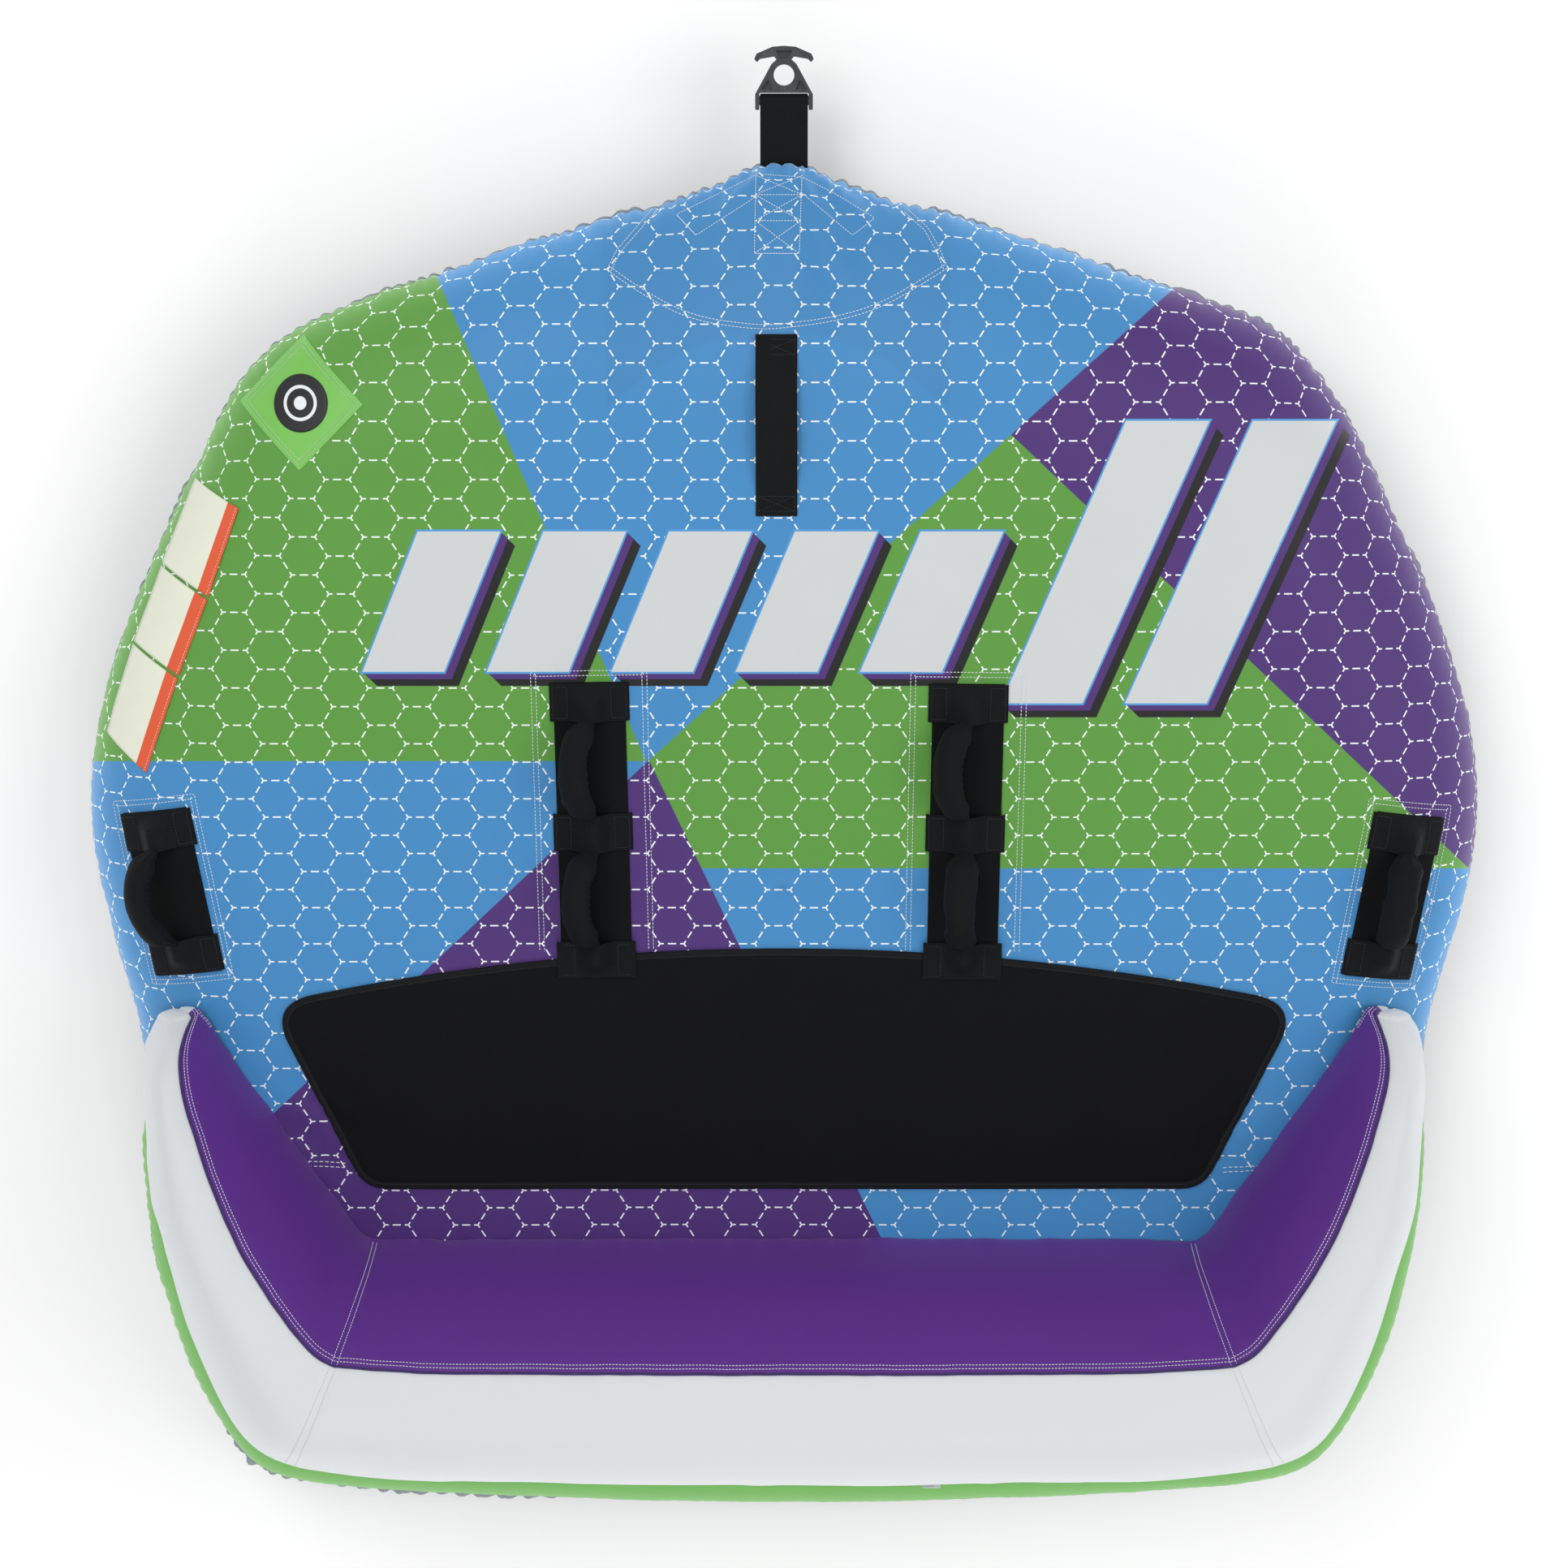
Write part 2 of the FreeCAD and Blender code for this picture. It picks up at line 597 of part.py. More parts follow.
def tow_connector():
    """Moulded rope connector: bar for the webbing, round eye for the rope, and a T-head the rope loops over."""
    half = CONNECTOR_T / 2
    side_w = 35.0
    slot_w = 30.0
    slot_y0, slot_y1 = TOW_BAR_Y - 11, TOW_BAR_Y + 9.2
    eye_y = TOW_EYE_Y
    head_y = 1008.0
    right = [
        (side_w, slot_y0),
        (side_w, slot_y1 - 2),
        (15, eye_y + 13),
        (9, head_y - 6),
        (12, head_y - 2),
        (29, head_y - 5),
        (33, head_y - 9),
        (36, head_y - 5),
        (33, head_y + 1),
        (14, head_y + 9),
        (0, head_y + 10),
    ]
    body = polygon_prism(mirrored(right), -half, half)
    body = body.cut(Part.makeBox(2 * slot_w, slot_y1 - slot_y0 + 1, CONNECTOR_T, V(-slot_w, slot_y0 - 1, -half)))
    upright = [e for e in body.Edges if abs(e.tangentAt(e.FirstParameter).z) > 0.99]
    body = body.makeFillet(1.2, upright)
    body = body.cut(Part.makeCylinder(TOW_EYE_R, CONNECTOR_T, V(0, eye_y, -half), V(0, 0, 1)))
    for side in (-1, 1):
        corner = [(side * 14, slot_y1 + 4), (side * 27.5, slot_y1 + 4), (side * 19, slot_y1 + 15)]
        for z in (-half, half - CONNECTOR_POCKET):
            body = body.cut(polygon_prism(corner, z, z + CONNECTOR_POCKET))
    groove = [(-4, head_y - 5), (4, head_y - 5), (10, head_y + 4.5), (-10, head_y + 4.5)]
    body = body.cut(polygon_prism(groove, half - CONNECTOR_POCKET, half))
    bar = Part.makeCylinder(TOW_BAR_R, 2 * slot_w + 4, V(-slot_w - 2, TOW_BAR_Y, 0), V(1, 0, 0))
    body = body.fuse(bar).removeSplitter()
    return {"tow_connector": body.translated(V(0, 0, MID))}


# ---- valves and zip -----------------------------------------------------------------------------------------


def on_valve(shape, frame):
    """From a valve's own frame, with its throat along +Z and the cover at z = 0, to its place, hinge down."""
    point, out = frame
    across = V(-1, 0, 0)
    turn = Rotation(across, out.cross(across), out, "ZXY")
    shape.Placement = Placement(point, turn).multiply(shape.Placement)
    return shape


def tube(outer, inner, z0, z1):
    return Part.makeCylinder(outer, z1 - z0, V(0, 0, z0)).cut(Part.makeCylinder(inner, z1 - z0, V(0, 0, z0)))


def valve_pieces():
    """Each air chamber has a welded base, a screw-in check insert and a cap on a hinge."""
    pieces = {}
    for name, frame in (("hull", hull_valve_frame()), ("backrest", backrest_valve_frame())):
        neck = tube(VALVE_NECK_R, VALVE_THROAT_R + 2.2, -16, 7)
        flange = tube(VALVE_FLANGE_R, VALVE_THROAT_R + 2.2, -10.5, -8.5)
        ear_y = VALVE_NECK_R + 5.0
        ears = []
        for x0 in (-9.0, 5.0):
            ear = Part.makeBox(4, 7, 5.5, V(x0, ear_y - 6, 1.5))
            knuckle = Part.makeCylinder(2.6, 4, V(x0, ear_y, 5.0), V(1, 0, 0))
            ears += [ear, knuckle]
        pin = Part.makeCylinder(1.2, 18, V(-9, ear_y, 5.0), V(1, 0, 0))
        base = neck.fuse([flange] + ears + [pin]).removeSplitter()

        insert = tube(VALVE_THROAT_R + 2.1, VALVE_THROAT_R, -14, 6)
        spokes = [Part.makeBox(2 * VALVE_THROAT_R + 2, 2.4, 2.5, V(-VALVE_THROAT_R - 1, -1.2, -12)) for _ in (0, 1)]
        spokes[1].rotate(V(0, 0, 0), V(0, 0, 1), 90)
        stem = Part.makeCylinder(3.2, 10, V(0, 0, -12))
        insert = insert.fuse(spokes + [stem]).removeSplitter()

        lid = Part.makeCylinder(VALVE_NECK_R + 1.5, 3.5, V(0, 0, 7.4))
        plug = tube(VALVE_THROAT_R - 0.4, VALVE_THROAT_R - 3, 2.5, 7.6)
        arm = Part.makeBox(9.4, 6.5, 3.0, V(-4.7, VALVE_NECK_R - 1, 7.9))
        knuckle = Part.makeCylinder(2.6, 9.4, V(-4.7, ear_y, 5.0), V(1, 0, 0))
        web = Part.makeBox(9.4, 5.0, 5.0, V(-4.7, ear_y - 2.5, 5.5))
        pull = Part.makeBox(12, 5, 2.5, V(-6, -VALVE_NECK_R - 6, 8.0))
        bore = Part.makeCylinder(1.3, 9.4, V(-4.7, ear_y, 5.0), V(1, 0, 0))
        cap = lid.fuse([plug, arm, knuckle, web, pull]).cut(bore).removeSplitter()

        for part, shape in (("base", base), ("insert", insert), ("cap", cap)):
            pieces[f"{name}_valve_{part}"] = on_valve(shape.scaled(VALVE_SCALE[name]), frame)
    return pieces


def zip_radius():
    """Radius of the rear edge, from its middle point and the outline point half a hull-width out."""
    x, y = OUTLINE[-3]
    sag = y - OUTLINE[-1][1]
    return (x * x + sag * sag) / (2 * sag)


def zip_frame():
    """Middle of the zip on the cover, with the outward and the upward direction along the rim there."""
    angle = math.asin((MID - ZIP_Z) / MID)
    point = V(0, OUTLINE[-1][1] + rim_inset(angle), ZIP_Z)
    out = V(0, -math.cos(angle) / RIM_WIDTH, -math.sin(angle) / MID).normalize()
    return point, out, V(0, out.z, -out.y)


def zip_sector(low, high, half_height, half_length):
    """A bar that follows the rear edge's large arc, between two heights off the cover."""
    point, out, up = zip_frame()
    axis = V(0, OUTLINE[-1][1] + zip_radius(), 0)
    half_angle = math.degrees(half_length / zip_radius())
    corners = [(low, -half_height), (high, -half_height), (high, half_height), (low, half_height)]
    rect = [point + out * a + up * b for a, b in corners]
    face = Part.Face(Part.makePolygon(rect + rect[:1]))
    face.rotate(axis, V(0, 0, 1), -half_angle)
    return face.revolve(axis, V(0, 0, 1), 2 * half_angle)


def zip_pieces():
    """Tape and coil along the rear, a slider that rides on the coil and a pull hinged on the slider."""
    tape = zip_sector(0.6, 1.6, 14, ZIP_HALF)
    coil = zip_sector(1.8, 4.6, 2.5, ZIP_HALF)
    slider = zip_sector(1.8, 7.6, 5.5, 8).cut(zip_sector(1.0, 4.8, 2.7, 12))
    point, out, up = zip_frame()
    pivot = point + out * ZIP_PIVOT
    lug = Part.makeBox(3, 6, 5, V(-1.5, -2, -2.5))
    bar = Part.makeCylinder(1.2, 8, V(-4, 0, 0), V(1, 0, 0))
    tab = Part.makeBox(8, 1.6, 32, V(-4, -0.8, -38))
    cheeks = []
    for x0 in (-4.0, 2.0):
        cheeks.append(Part.makeCylinder(2.6, 2.0, V(x0, 0, 0), V(1, 0, 0)))
        cheeks.append(Part.makeBox(2.0, 1.6, 7, V(x0, -0.8, -7)))
    bore = Part.makeCylinder(1.3, 10, V(-5, 0, 0), V(1, 0, 0))
    pull = tab.fuse(cheeks).cut(bore).removeSplitter()
    place = Placement(pivot, Rotation(V(1, 0, 0), -out, up, "ZXY"))
    lug.Placement = place
    bar.Placement = place
    pull.Placement = place
    return {
        "zip_tape": tape,
        "zip_coil": coil,
        "zip_slider": slider.fuse([lug, bar]).removeSplitter(),
        "zip_pull": pull,
    }


# ---- build --------------------------------------------------------------------------------------------------

SECTIONS = (
    hull_pieces,
    backrest_pieces,
    seat_pad,
    deck_patches,
    tow_harness,
    handle_pieces,
    tow_strap,
    tow_connector,
    valve_pieces,
    zip_pieces,
)


def main():
    os.makedirs("parts", exist_ok=True)
    for section in SECTIONS:
        for name, shape in section().items():
            shape.exportStep(f"parts/{name}.step")


main()
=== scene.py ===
import math
from functools import partialmethod

import bpy
import numpy as np
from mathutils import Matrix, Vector
from mathutils.bvhtree import BVHTree


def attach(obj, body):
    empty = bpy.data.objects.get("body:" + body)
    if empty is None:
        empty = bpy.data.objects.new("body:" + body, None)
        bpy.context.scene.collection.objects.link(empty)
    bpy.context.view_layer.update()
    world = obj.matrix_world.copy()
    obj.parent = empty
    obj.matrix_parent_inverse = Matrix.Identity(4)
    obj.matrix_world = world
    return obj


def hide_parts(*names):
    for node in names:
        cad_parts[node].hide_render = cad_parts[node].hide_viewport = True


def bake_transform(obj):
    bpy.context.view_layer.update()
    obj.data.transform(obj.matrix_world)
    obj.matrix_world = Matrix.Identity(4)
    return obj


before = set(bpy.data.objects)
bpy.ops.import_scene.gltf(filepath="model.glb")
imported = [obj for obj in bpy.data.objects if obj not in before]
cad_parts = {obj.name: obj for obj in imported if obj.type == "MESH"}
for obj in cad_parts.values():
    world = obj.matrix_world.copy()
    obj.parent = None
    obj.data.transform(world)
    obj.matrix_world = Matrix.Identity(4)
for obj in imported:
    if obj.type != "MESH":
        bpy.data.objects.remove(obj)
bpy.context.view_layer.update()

MM = 0.001
MID, HALF, RIM = 125.0, 125.0, 190.0  # hull: seam height, half thickness, width of the rounded rim
COLUMNS = 1320  # points round the hull's outline
DECK_Z = MID + HALF
SIDE_PANEL_FROM, SIDE_PANEL_WIDE = -236.0, 74.0  # where the plain side panel starts, and how far in it reaches
FRAME_WIDTH = 1932  # the picture's width, which spans as many millimetres at the view's centre
VIEW_DISTANCE, VIEW_TILT, VIEW_CENTRE = 3400.0, math.radians(12), (0.0, 132.0)
CAMERA = np.array([
    VIEW_CENTRE[0],
    VIEW_CENTRE[1] + VIEW_DISTANCE * math.sin(VIEW_TILT),
    DECK_Z + VIEW_DISTANCE * math.cos(VIEW_TILT),
])


# ---- curves, noise and meshes -------------------------------------------------------------------------------


def closed_spline(points, t):
    """Smooth closed curve through the points, at parameters t in [0, number of points)."""
    p = np.array(points, float)
    n = len(p)
    system = 4 * np.eye(n) + np.roll(np.eye(n), 1, 1) + np.roll(np.eye(n), -1, 1)
    bend = np.linalg.solve(system, 6 * (np.roll(p, -1, 0) - 2 * p + np.roll(p, 1, 0)))
    i = np.floor(t).astype(int) % n
    j = (i + 1) % n
    f = (t - np.floor(t))[:, None]
    g = 1 - f
    return g * p[i] + f * p[j] + (g**3 - g) / 6 * bend[i] + (f**3 - f) / 6 * bend[j]


def open_spline(p, knots, t):
    """Natural cubic through p[k] at the knots. p may have any shape after its first axis."""
    p = np.array(p, float)
    n = len(p)
    h = np.diff(knots)
    system, right = np.eye(n), np.zeros((n,) + p.shape[1:])
    for k in range(1, n - 1):
        system[k, k - 1 : k + 2] = h[k - 1], 2 * (h[k - 1] + h[k]), h[k]
        right[k] = 6 * ((p[k + 1] - p[k]) / h[k] - (p[k] - p[k - 1]) / h[k - 1])
    bend = np.linalg.solve(system, right.reshape(n, -1)).reshape(right.shape)
    i = np.clip(np.searchsorted(knots, t, "right") - 1, 0, n - 2)
    shape = (-1,) + (1,) * (p.ndim - 1)
    w = h[i].reshape(shape)
    f = (t - np.array(knots)[i]).reshape(shape) / w
    g = 1 - f
    return g * p[i] + f * p[i + 1] + w**2 / 6 * ((g**3 - g) * bend[i] + (f**3 - f) * bend[i + 1])


def ease(x):
    x = np.clip(x, 0, 1)
    return x * x * (3 - 2 * x)


def noise1(s, period, total, seed):
    """Smooth noise along a closed line of the given total length."""
    cells = max(3, round(total / period))
    table = np.random.default_rng(seed).uniform(-1, 1, cells)
    u = s / total * cells
    i = np.floor(u).astype(int)
    return table[i % cells] + (table[(i + 1) % cells] - table[i % cells]) * ease(u - i)


def noise2(x, y, cell, seed):
    table = np.random.default_rng(seed).uniform(-1, 1, (97, 97))
    u, v = x / cell, y / cell
    i, j = np.floor(u).astype(int), np.floor(v).astype(int)
    f, g = ease(u - i), ease(v - j)
    a, b = table[i % 97, j % 97], table[(i + 1) % 97, j % 97]
    c, d = table[i % 97, (j + 1) % 97], table[(i + 1) % 97, (j + 1) % 97]
    return (a * (1 - f) + b * f) * (1 - g) + (c * (1 - f) + d * f) * g


def grid_faces(rows, cols, closed=False):
    i, j = np.meshgrid(np.arange(rows - 1), np.arange(cols if closed else cols - 1), indexing="ij")
    k = (j + 1) % cols
    return np.stack([i * cols + j, i * cols + k, (i + 1) * cols + k, (i + 1) * cols + j], -1).reshape(-1, 4)


def part_of(faces, keep):
    """The points that the kept faces use, and these faces renumbered to them."""
    used, index = np.unique(faces[keep], return_inverse=True)
    return used, index.reshape(-1, 4)


def joined(parts):
    """Several sets of points, faces and weave coordinates as one."""
    points, faces, weave, start = [], [], [], 0
    for p, own, uv in parts:
        points.append(p.reshape(-1, 3))
        weave.append(uv.reshape(-1, 2))
        faces += [[i + start for i in face] for face in own]
        start += len(points[-1])
    return np.concatenate(points), faces, np.concatenate(weave)


def run_along(p):
    """Distance along a line of points from its start."""
    return np.concatenate([[0], np.cumsum(np.linalg.norm(np.diff(p, axis=0), axis=1))])


def unit(v):
    """Vectors brought to length one."""
    return v / np.maximum(np.linalg.norm(v, axis=-1, keepdims=True), 1e-9)


def grid_normals(p, closed=False):
    """Unit normals of a grid of points, rows by columns."""
    if closed:
        across = np.roll(p, -1, 1) - np.roll(p, 1, 1)
    else:
        across = np.gradient(p, axis=1)
    return unit(np.cross(across, np.gradient(p, axis=0)))


def make(name, points, faces, material, attributes=(), thick=0.0, level=0):
    """A mesh object from points in mm. Attributes are (name, values) with two or three numbers a point."""
    mesh = bpy.data.meshes.new(name)
    mesh.from_pydata((np.asarray(points).reshape(-1, 3) * MM).tolist(), [], [list(map(int, f)) for f in faces])
    for label, values in attributes:
        values = np.asarray(values, float).reshape(len(mesh.vertices), -1)
        full = np.zeros((len(values), 3), np.float32)
        full[:, : values.shape[1]] = values
        mesh.attributes.new(label, "FLOAT_VECTOR", "POINT").data.foreach_set("vector", full.ravel())
    mesh.polygons.foreach_set("use_smooth", [True] * len(mesh.polygons))
    mesh.materials.append(material)
    ob = bpy.data.objects.new(name, mesh)
    bpy.context.scene.collection.objects.link(ob)
    if thick:
        m = ob.modifiers.new("thickness", "SOLIDIFY")
        m.thickness, m.offset = thick * MM, -1
    if level:
        m = ob.modifiers.new("smooth", "SUBSURF")
        m.levels = m.render_levels = level
    return ob


def place(ob, body, slot, *nodes):
    """Rides a piece on a body, in place of the frame's nodes. The slot argument is not used."""
    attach(ob, body)
    if nodes:
        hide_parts(*nodes)
    return ob


def add(name, points, faces, material, weave, slot, *nodes, body="hull", thick=0.0, level=0):
    """Makes a piece whose material follows the cloth's own coordinates, and places it."""
    return place(make(name, points, faces, material, [("weave", weave)], thick, level), body, slot, *nodes)


# ---- materials ----------------------------------------------------------------------------------------------


class Value:
    """A number or colour in a shader's node tree, so that formulas can be written as formulas."""

    def __init__(self, graph, socket):
        self.graph, self.socket = graph, socket

    def op(self, kind, *others):
        return self.graph.math(kind, self, *others)

    __add__ = __radd__ = partialmethod(op, "ADD")
    __sub__ = partialmethod(op, "SUBTRACT")
    __mul__ = __rmul__ = partialmethod(op, "MULTIPLY")
    __truediv__ = partialmethod(op, "DIVIDE")
    __neg__ = partialmethod(op, "MULTIPLY", -1.0)
    __abs__ = partialmethod(op, "ABSOLUTE")
    floor = partialmethod(op, "FLOOR")
    min = partialmethod(op, "MINIMUM")
    max = partialmethod(op, "MAXIMUM")

    def __rsub__(self, o):
        return self.graph.math("SUBTRACT", o, self)

    def wave(self, period):
        return (self / period * 2 * math.pi).op("SINE")

    def below(self, o, soft=0.35):
        """1 where this is less than o, 0 above, with a soft edge."""
        return self.graph.step(o - self, soft)

    def above(self, o, soft=0.35):
        return self.graph.step(self - o, soft)


class Graph:
    def __init__(self, name):
        self.mat = bpy.data.materials.new(name)
        self.mat.use_nodes = True
        self.nodes, self.links = self.mat.node_tree.nodes, self.mat.node_tree.links
        self.nodes.clear()

    def node(self, kind, inputs=(), **settings):
        n = self.nodes.new(kind)
        for key, value in settings.items():
            setattr(n, key, value)
        for key, value in dict(inputs).items():
            self.feed(n.inputs[key], value)
        return n

    def feed(self, socket, value):
        if isinstance(value, Value):
            self.links.new(value.socket, socket)
        elif isinstance(value, tuple) and len(value) == 3 and len(socket.default_value) == 4:
            socket.default_value = (*value, 1)
        else:
            socket.default_value = value

    def math(self, kind, *values):
        n = self.node("ShaderNodeMath", operation=kind)
        for socket, value in zip(n.inputs, values):
            self.feed(socket, value)
        return Value(self, n.outputs[0])

    def step(self, x, soft):
        n = self.node("ShaderNodeMapRange", {"Value": x, "From Min": -soft, "From Max": soft})
        return Value(self, n.outputs[0])

    def attribute(self, name):
        a = self.node("ShaderNodeAttribute", attribute_name=name)
        x = self.node("ShaderNodeSeparateXYZ", {"Vector": Value(self, a.outputs["Vector"])})
        return Value(self, x.outputs[0]), Value(self, x.outputs[1]), Value(self, a.outputs["Vector"])

    def position(self):
        return Value(self, self.node("ShaderNodeTexCoord").outputs["Object"])

    def noise(self, vector, scale, detail=3.0, rough=0.55):
        inputs = {"Vector": vector, "Scale": scale, "Detail": detail, "Roughness": rough}
        return Value(self, self.node("ShaderNodeTexNoise", inputs).outputs["Fac"])

    def mix(self, share, a, b):
        n = self.node("ShaderNodeMix", data_type="RGBA", clamp_factor=True)
        self.feed(n.inputs[0], share)
        self.feed(n.inputs[6], a)
        self.feed(n.inputs[7], b)
        return Value(self, n.outputs[2])

    def shade(self, colour, amount):
        """The colour made lighter or darker by a factor."""
        n = self.node("ShaderNodeMix", data_type="RGBA", blend_type="MULTIPLY")
        self.feed(n.inputs[0], 1.0)
        self.feed(n.inputs[6], colour)
        grey = self.node("ShaderNodeCombineXYZ", {"X": amount, "Y": amount, "Z": amount})
        self.feed(n.inputs[7], Value(self, grey.outputs[0]))
        return Value(self, n.outputs[2])

    def output(self, colour, rough, height=None, depth=0.1, **extra):
        inputs = {"Base Color": colour, "Roughness": rough}
        inputs.update({k.replace("_", " "): v for k, v in extra.items()})
        if height is not None:
            bump = self.node("ShaderNodeBump", {"Height": height, "Distance": depth * MM, "Strength": 1.0})
            inputs["Normal"] = Value(self, bump.outputs[0])
        shader = self.node("ShaderNodeBsdfPrincipled", inputs)
        out = self.node("ShaderNodeOutputMaterial")
        self.links.new(shader.outputs[0], out.inputs[0])
        return self.mat


def linear(code):
    """A colour from its usual hex code, as the shader wants it."""
    parts = [int(code[i : i + 2], 16) / 255 for i in (0, 2, 4)]
    return tuple(c / 12.92 if c <= 0.04045 else ((c + 0.055) / 1.055) ** 2.4 for c in parts)


def plain_weave(u, v, pitch):
    """Height of a plain weave: threads rise and dip over each other in turn."""
    a, b = u / pitch, v / pitch
    turn = (a.floor() + b.floor()) * 0.5
    odd = (turn - turn.floor()) * 2
    return abs((a * math.pi).op("SINE")) * odd + abs((b * math.pi).op("SINE")) * (1 - odd)


def cloth_finish(g, colour, u, v, vector, pitch=0.9, rough=0.55, sheen=0.25, depth=0.05, mottle=0.07, painted_sheen=0.6):
    """Woven cloth: thread relief, faint slubs, a slightly uneven dye, and a painted sheen that lightens it where
    it turns away from the view.
    """
    weave = plain_weave(u, v, pitch)
    patchy = g.noise(vector, 0.008, 4.0)
    fine = g.noise(vector, 0.9, 2.0)
    away = Value(g, g.node("ShaderNodeLayerWeight", {"Blend": 0.5}).outputs["Facing"])
    colour = g.shade(colour, 1 + (patchy - 0.5) * mottle + (fine - 0.5) * 0.10 + (weave - 0.6) * 0.05)
    # painted sheen: the colour is mixed towards a lighter copy where the surface turns away from the view
    colour = g.mix(away * away * painted_sheen, colour, g.shade(colour, 1.5))
    height = weave + (fine - 0.5) * 1.2
    shine = {"Sheen_Weight": sheen, "Sheen_Roughness": 0.45, "Specular_IOR_Level": 0.35}
    return g.output(colour, rough + (fine - 0.5) * 0.15, height, depth, **shine)


def nylon(name, code, **extra):
    g = Graph(name)
    u, v, vector = g.attribute("weave")
    return cloth_finish(g, linear(code), u, v, vector, **extra)


def webbing(name, code, ribs=2.2):
    """Flat webbing: a herringbone of ribs along its length."""
    g = Graph(name)
    u, v, vector = g.attribute("weave")
    wave = u.wave(ribs)
    twill = (v + abs(wave) * 0.8).wave(1.3)
    fine = g.noise(vector, 0.7, 3.0)
    wear = g.noise(vector, 0.02, 4.0)
    colour = g.shade(linear(code), 0.75 + wear * 0.5 + twill * 0.12)
    height = wave * 0.6 + twill * 0.5 + fine * 0.6
    shine = {"Sheen_Weight": 0.02, "Sheen_Roughness": 0.5, "Specular_IOR_Level": 0.12}
    return g.output(colour, 0.66 - fine * 0.15, height, 0.22, **shine)


def neoprene(name, code):
    """Knit-faced neoprene: rows of tiny loops over a soft, slightly dimpled foam."""
    g = Graph(name)
    u, v, vector = g.attribute("weave")
    loops = u.wave(1.1) * v.wave(0.8)
    dimple = g.noise(vector, 0.12, 3.0)
    fine = g.noise(vector, 1.1, 2.0)
    colour = g.shade(linear(code), 0.8 + g.noise(vector, 0.012, 4.0) * 0.4 + (fine - 0.5) * 0.3)
    height = loops * 0.35 + dimple * 1.4 + fine * 0.4
    shine = {"Sheen_Weight": 0.015, "Sheen_Roughness": 0.6, "Specular_IOR_Level": 0.08}
    return g.output(colour, 0.72 - dimple * 0.12, height, 0.25, **shine)


def plastic(name, code, rough=0.4, grain=60.0, scuff=0.25):
    """Moulded plastic with a fine grain and lighter, rougher scuffs."""
    g = Graph(name)
    at = g.position()
    fine = g.noise(at, grain * 25, 3.0)
    worn = g.noise(at, grain, 5.0, 0.7)
    patch = worn.above(0.56, 0.08)
    colour = g.mix(patch * scuff, linear(code), tuple(min(1.0, c * 2.2 + 0.04) for c in linear(code)))
    return g.output(colour, rough + patch * 0.18 + (fine - 0.5) * 0.1, fine, 0.06, Specular_IOR_Level=0.5)


BLUE, GREEN, PURPLE, INK = "3C84BC", "569338", "472670", "0E0D10"


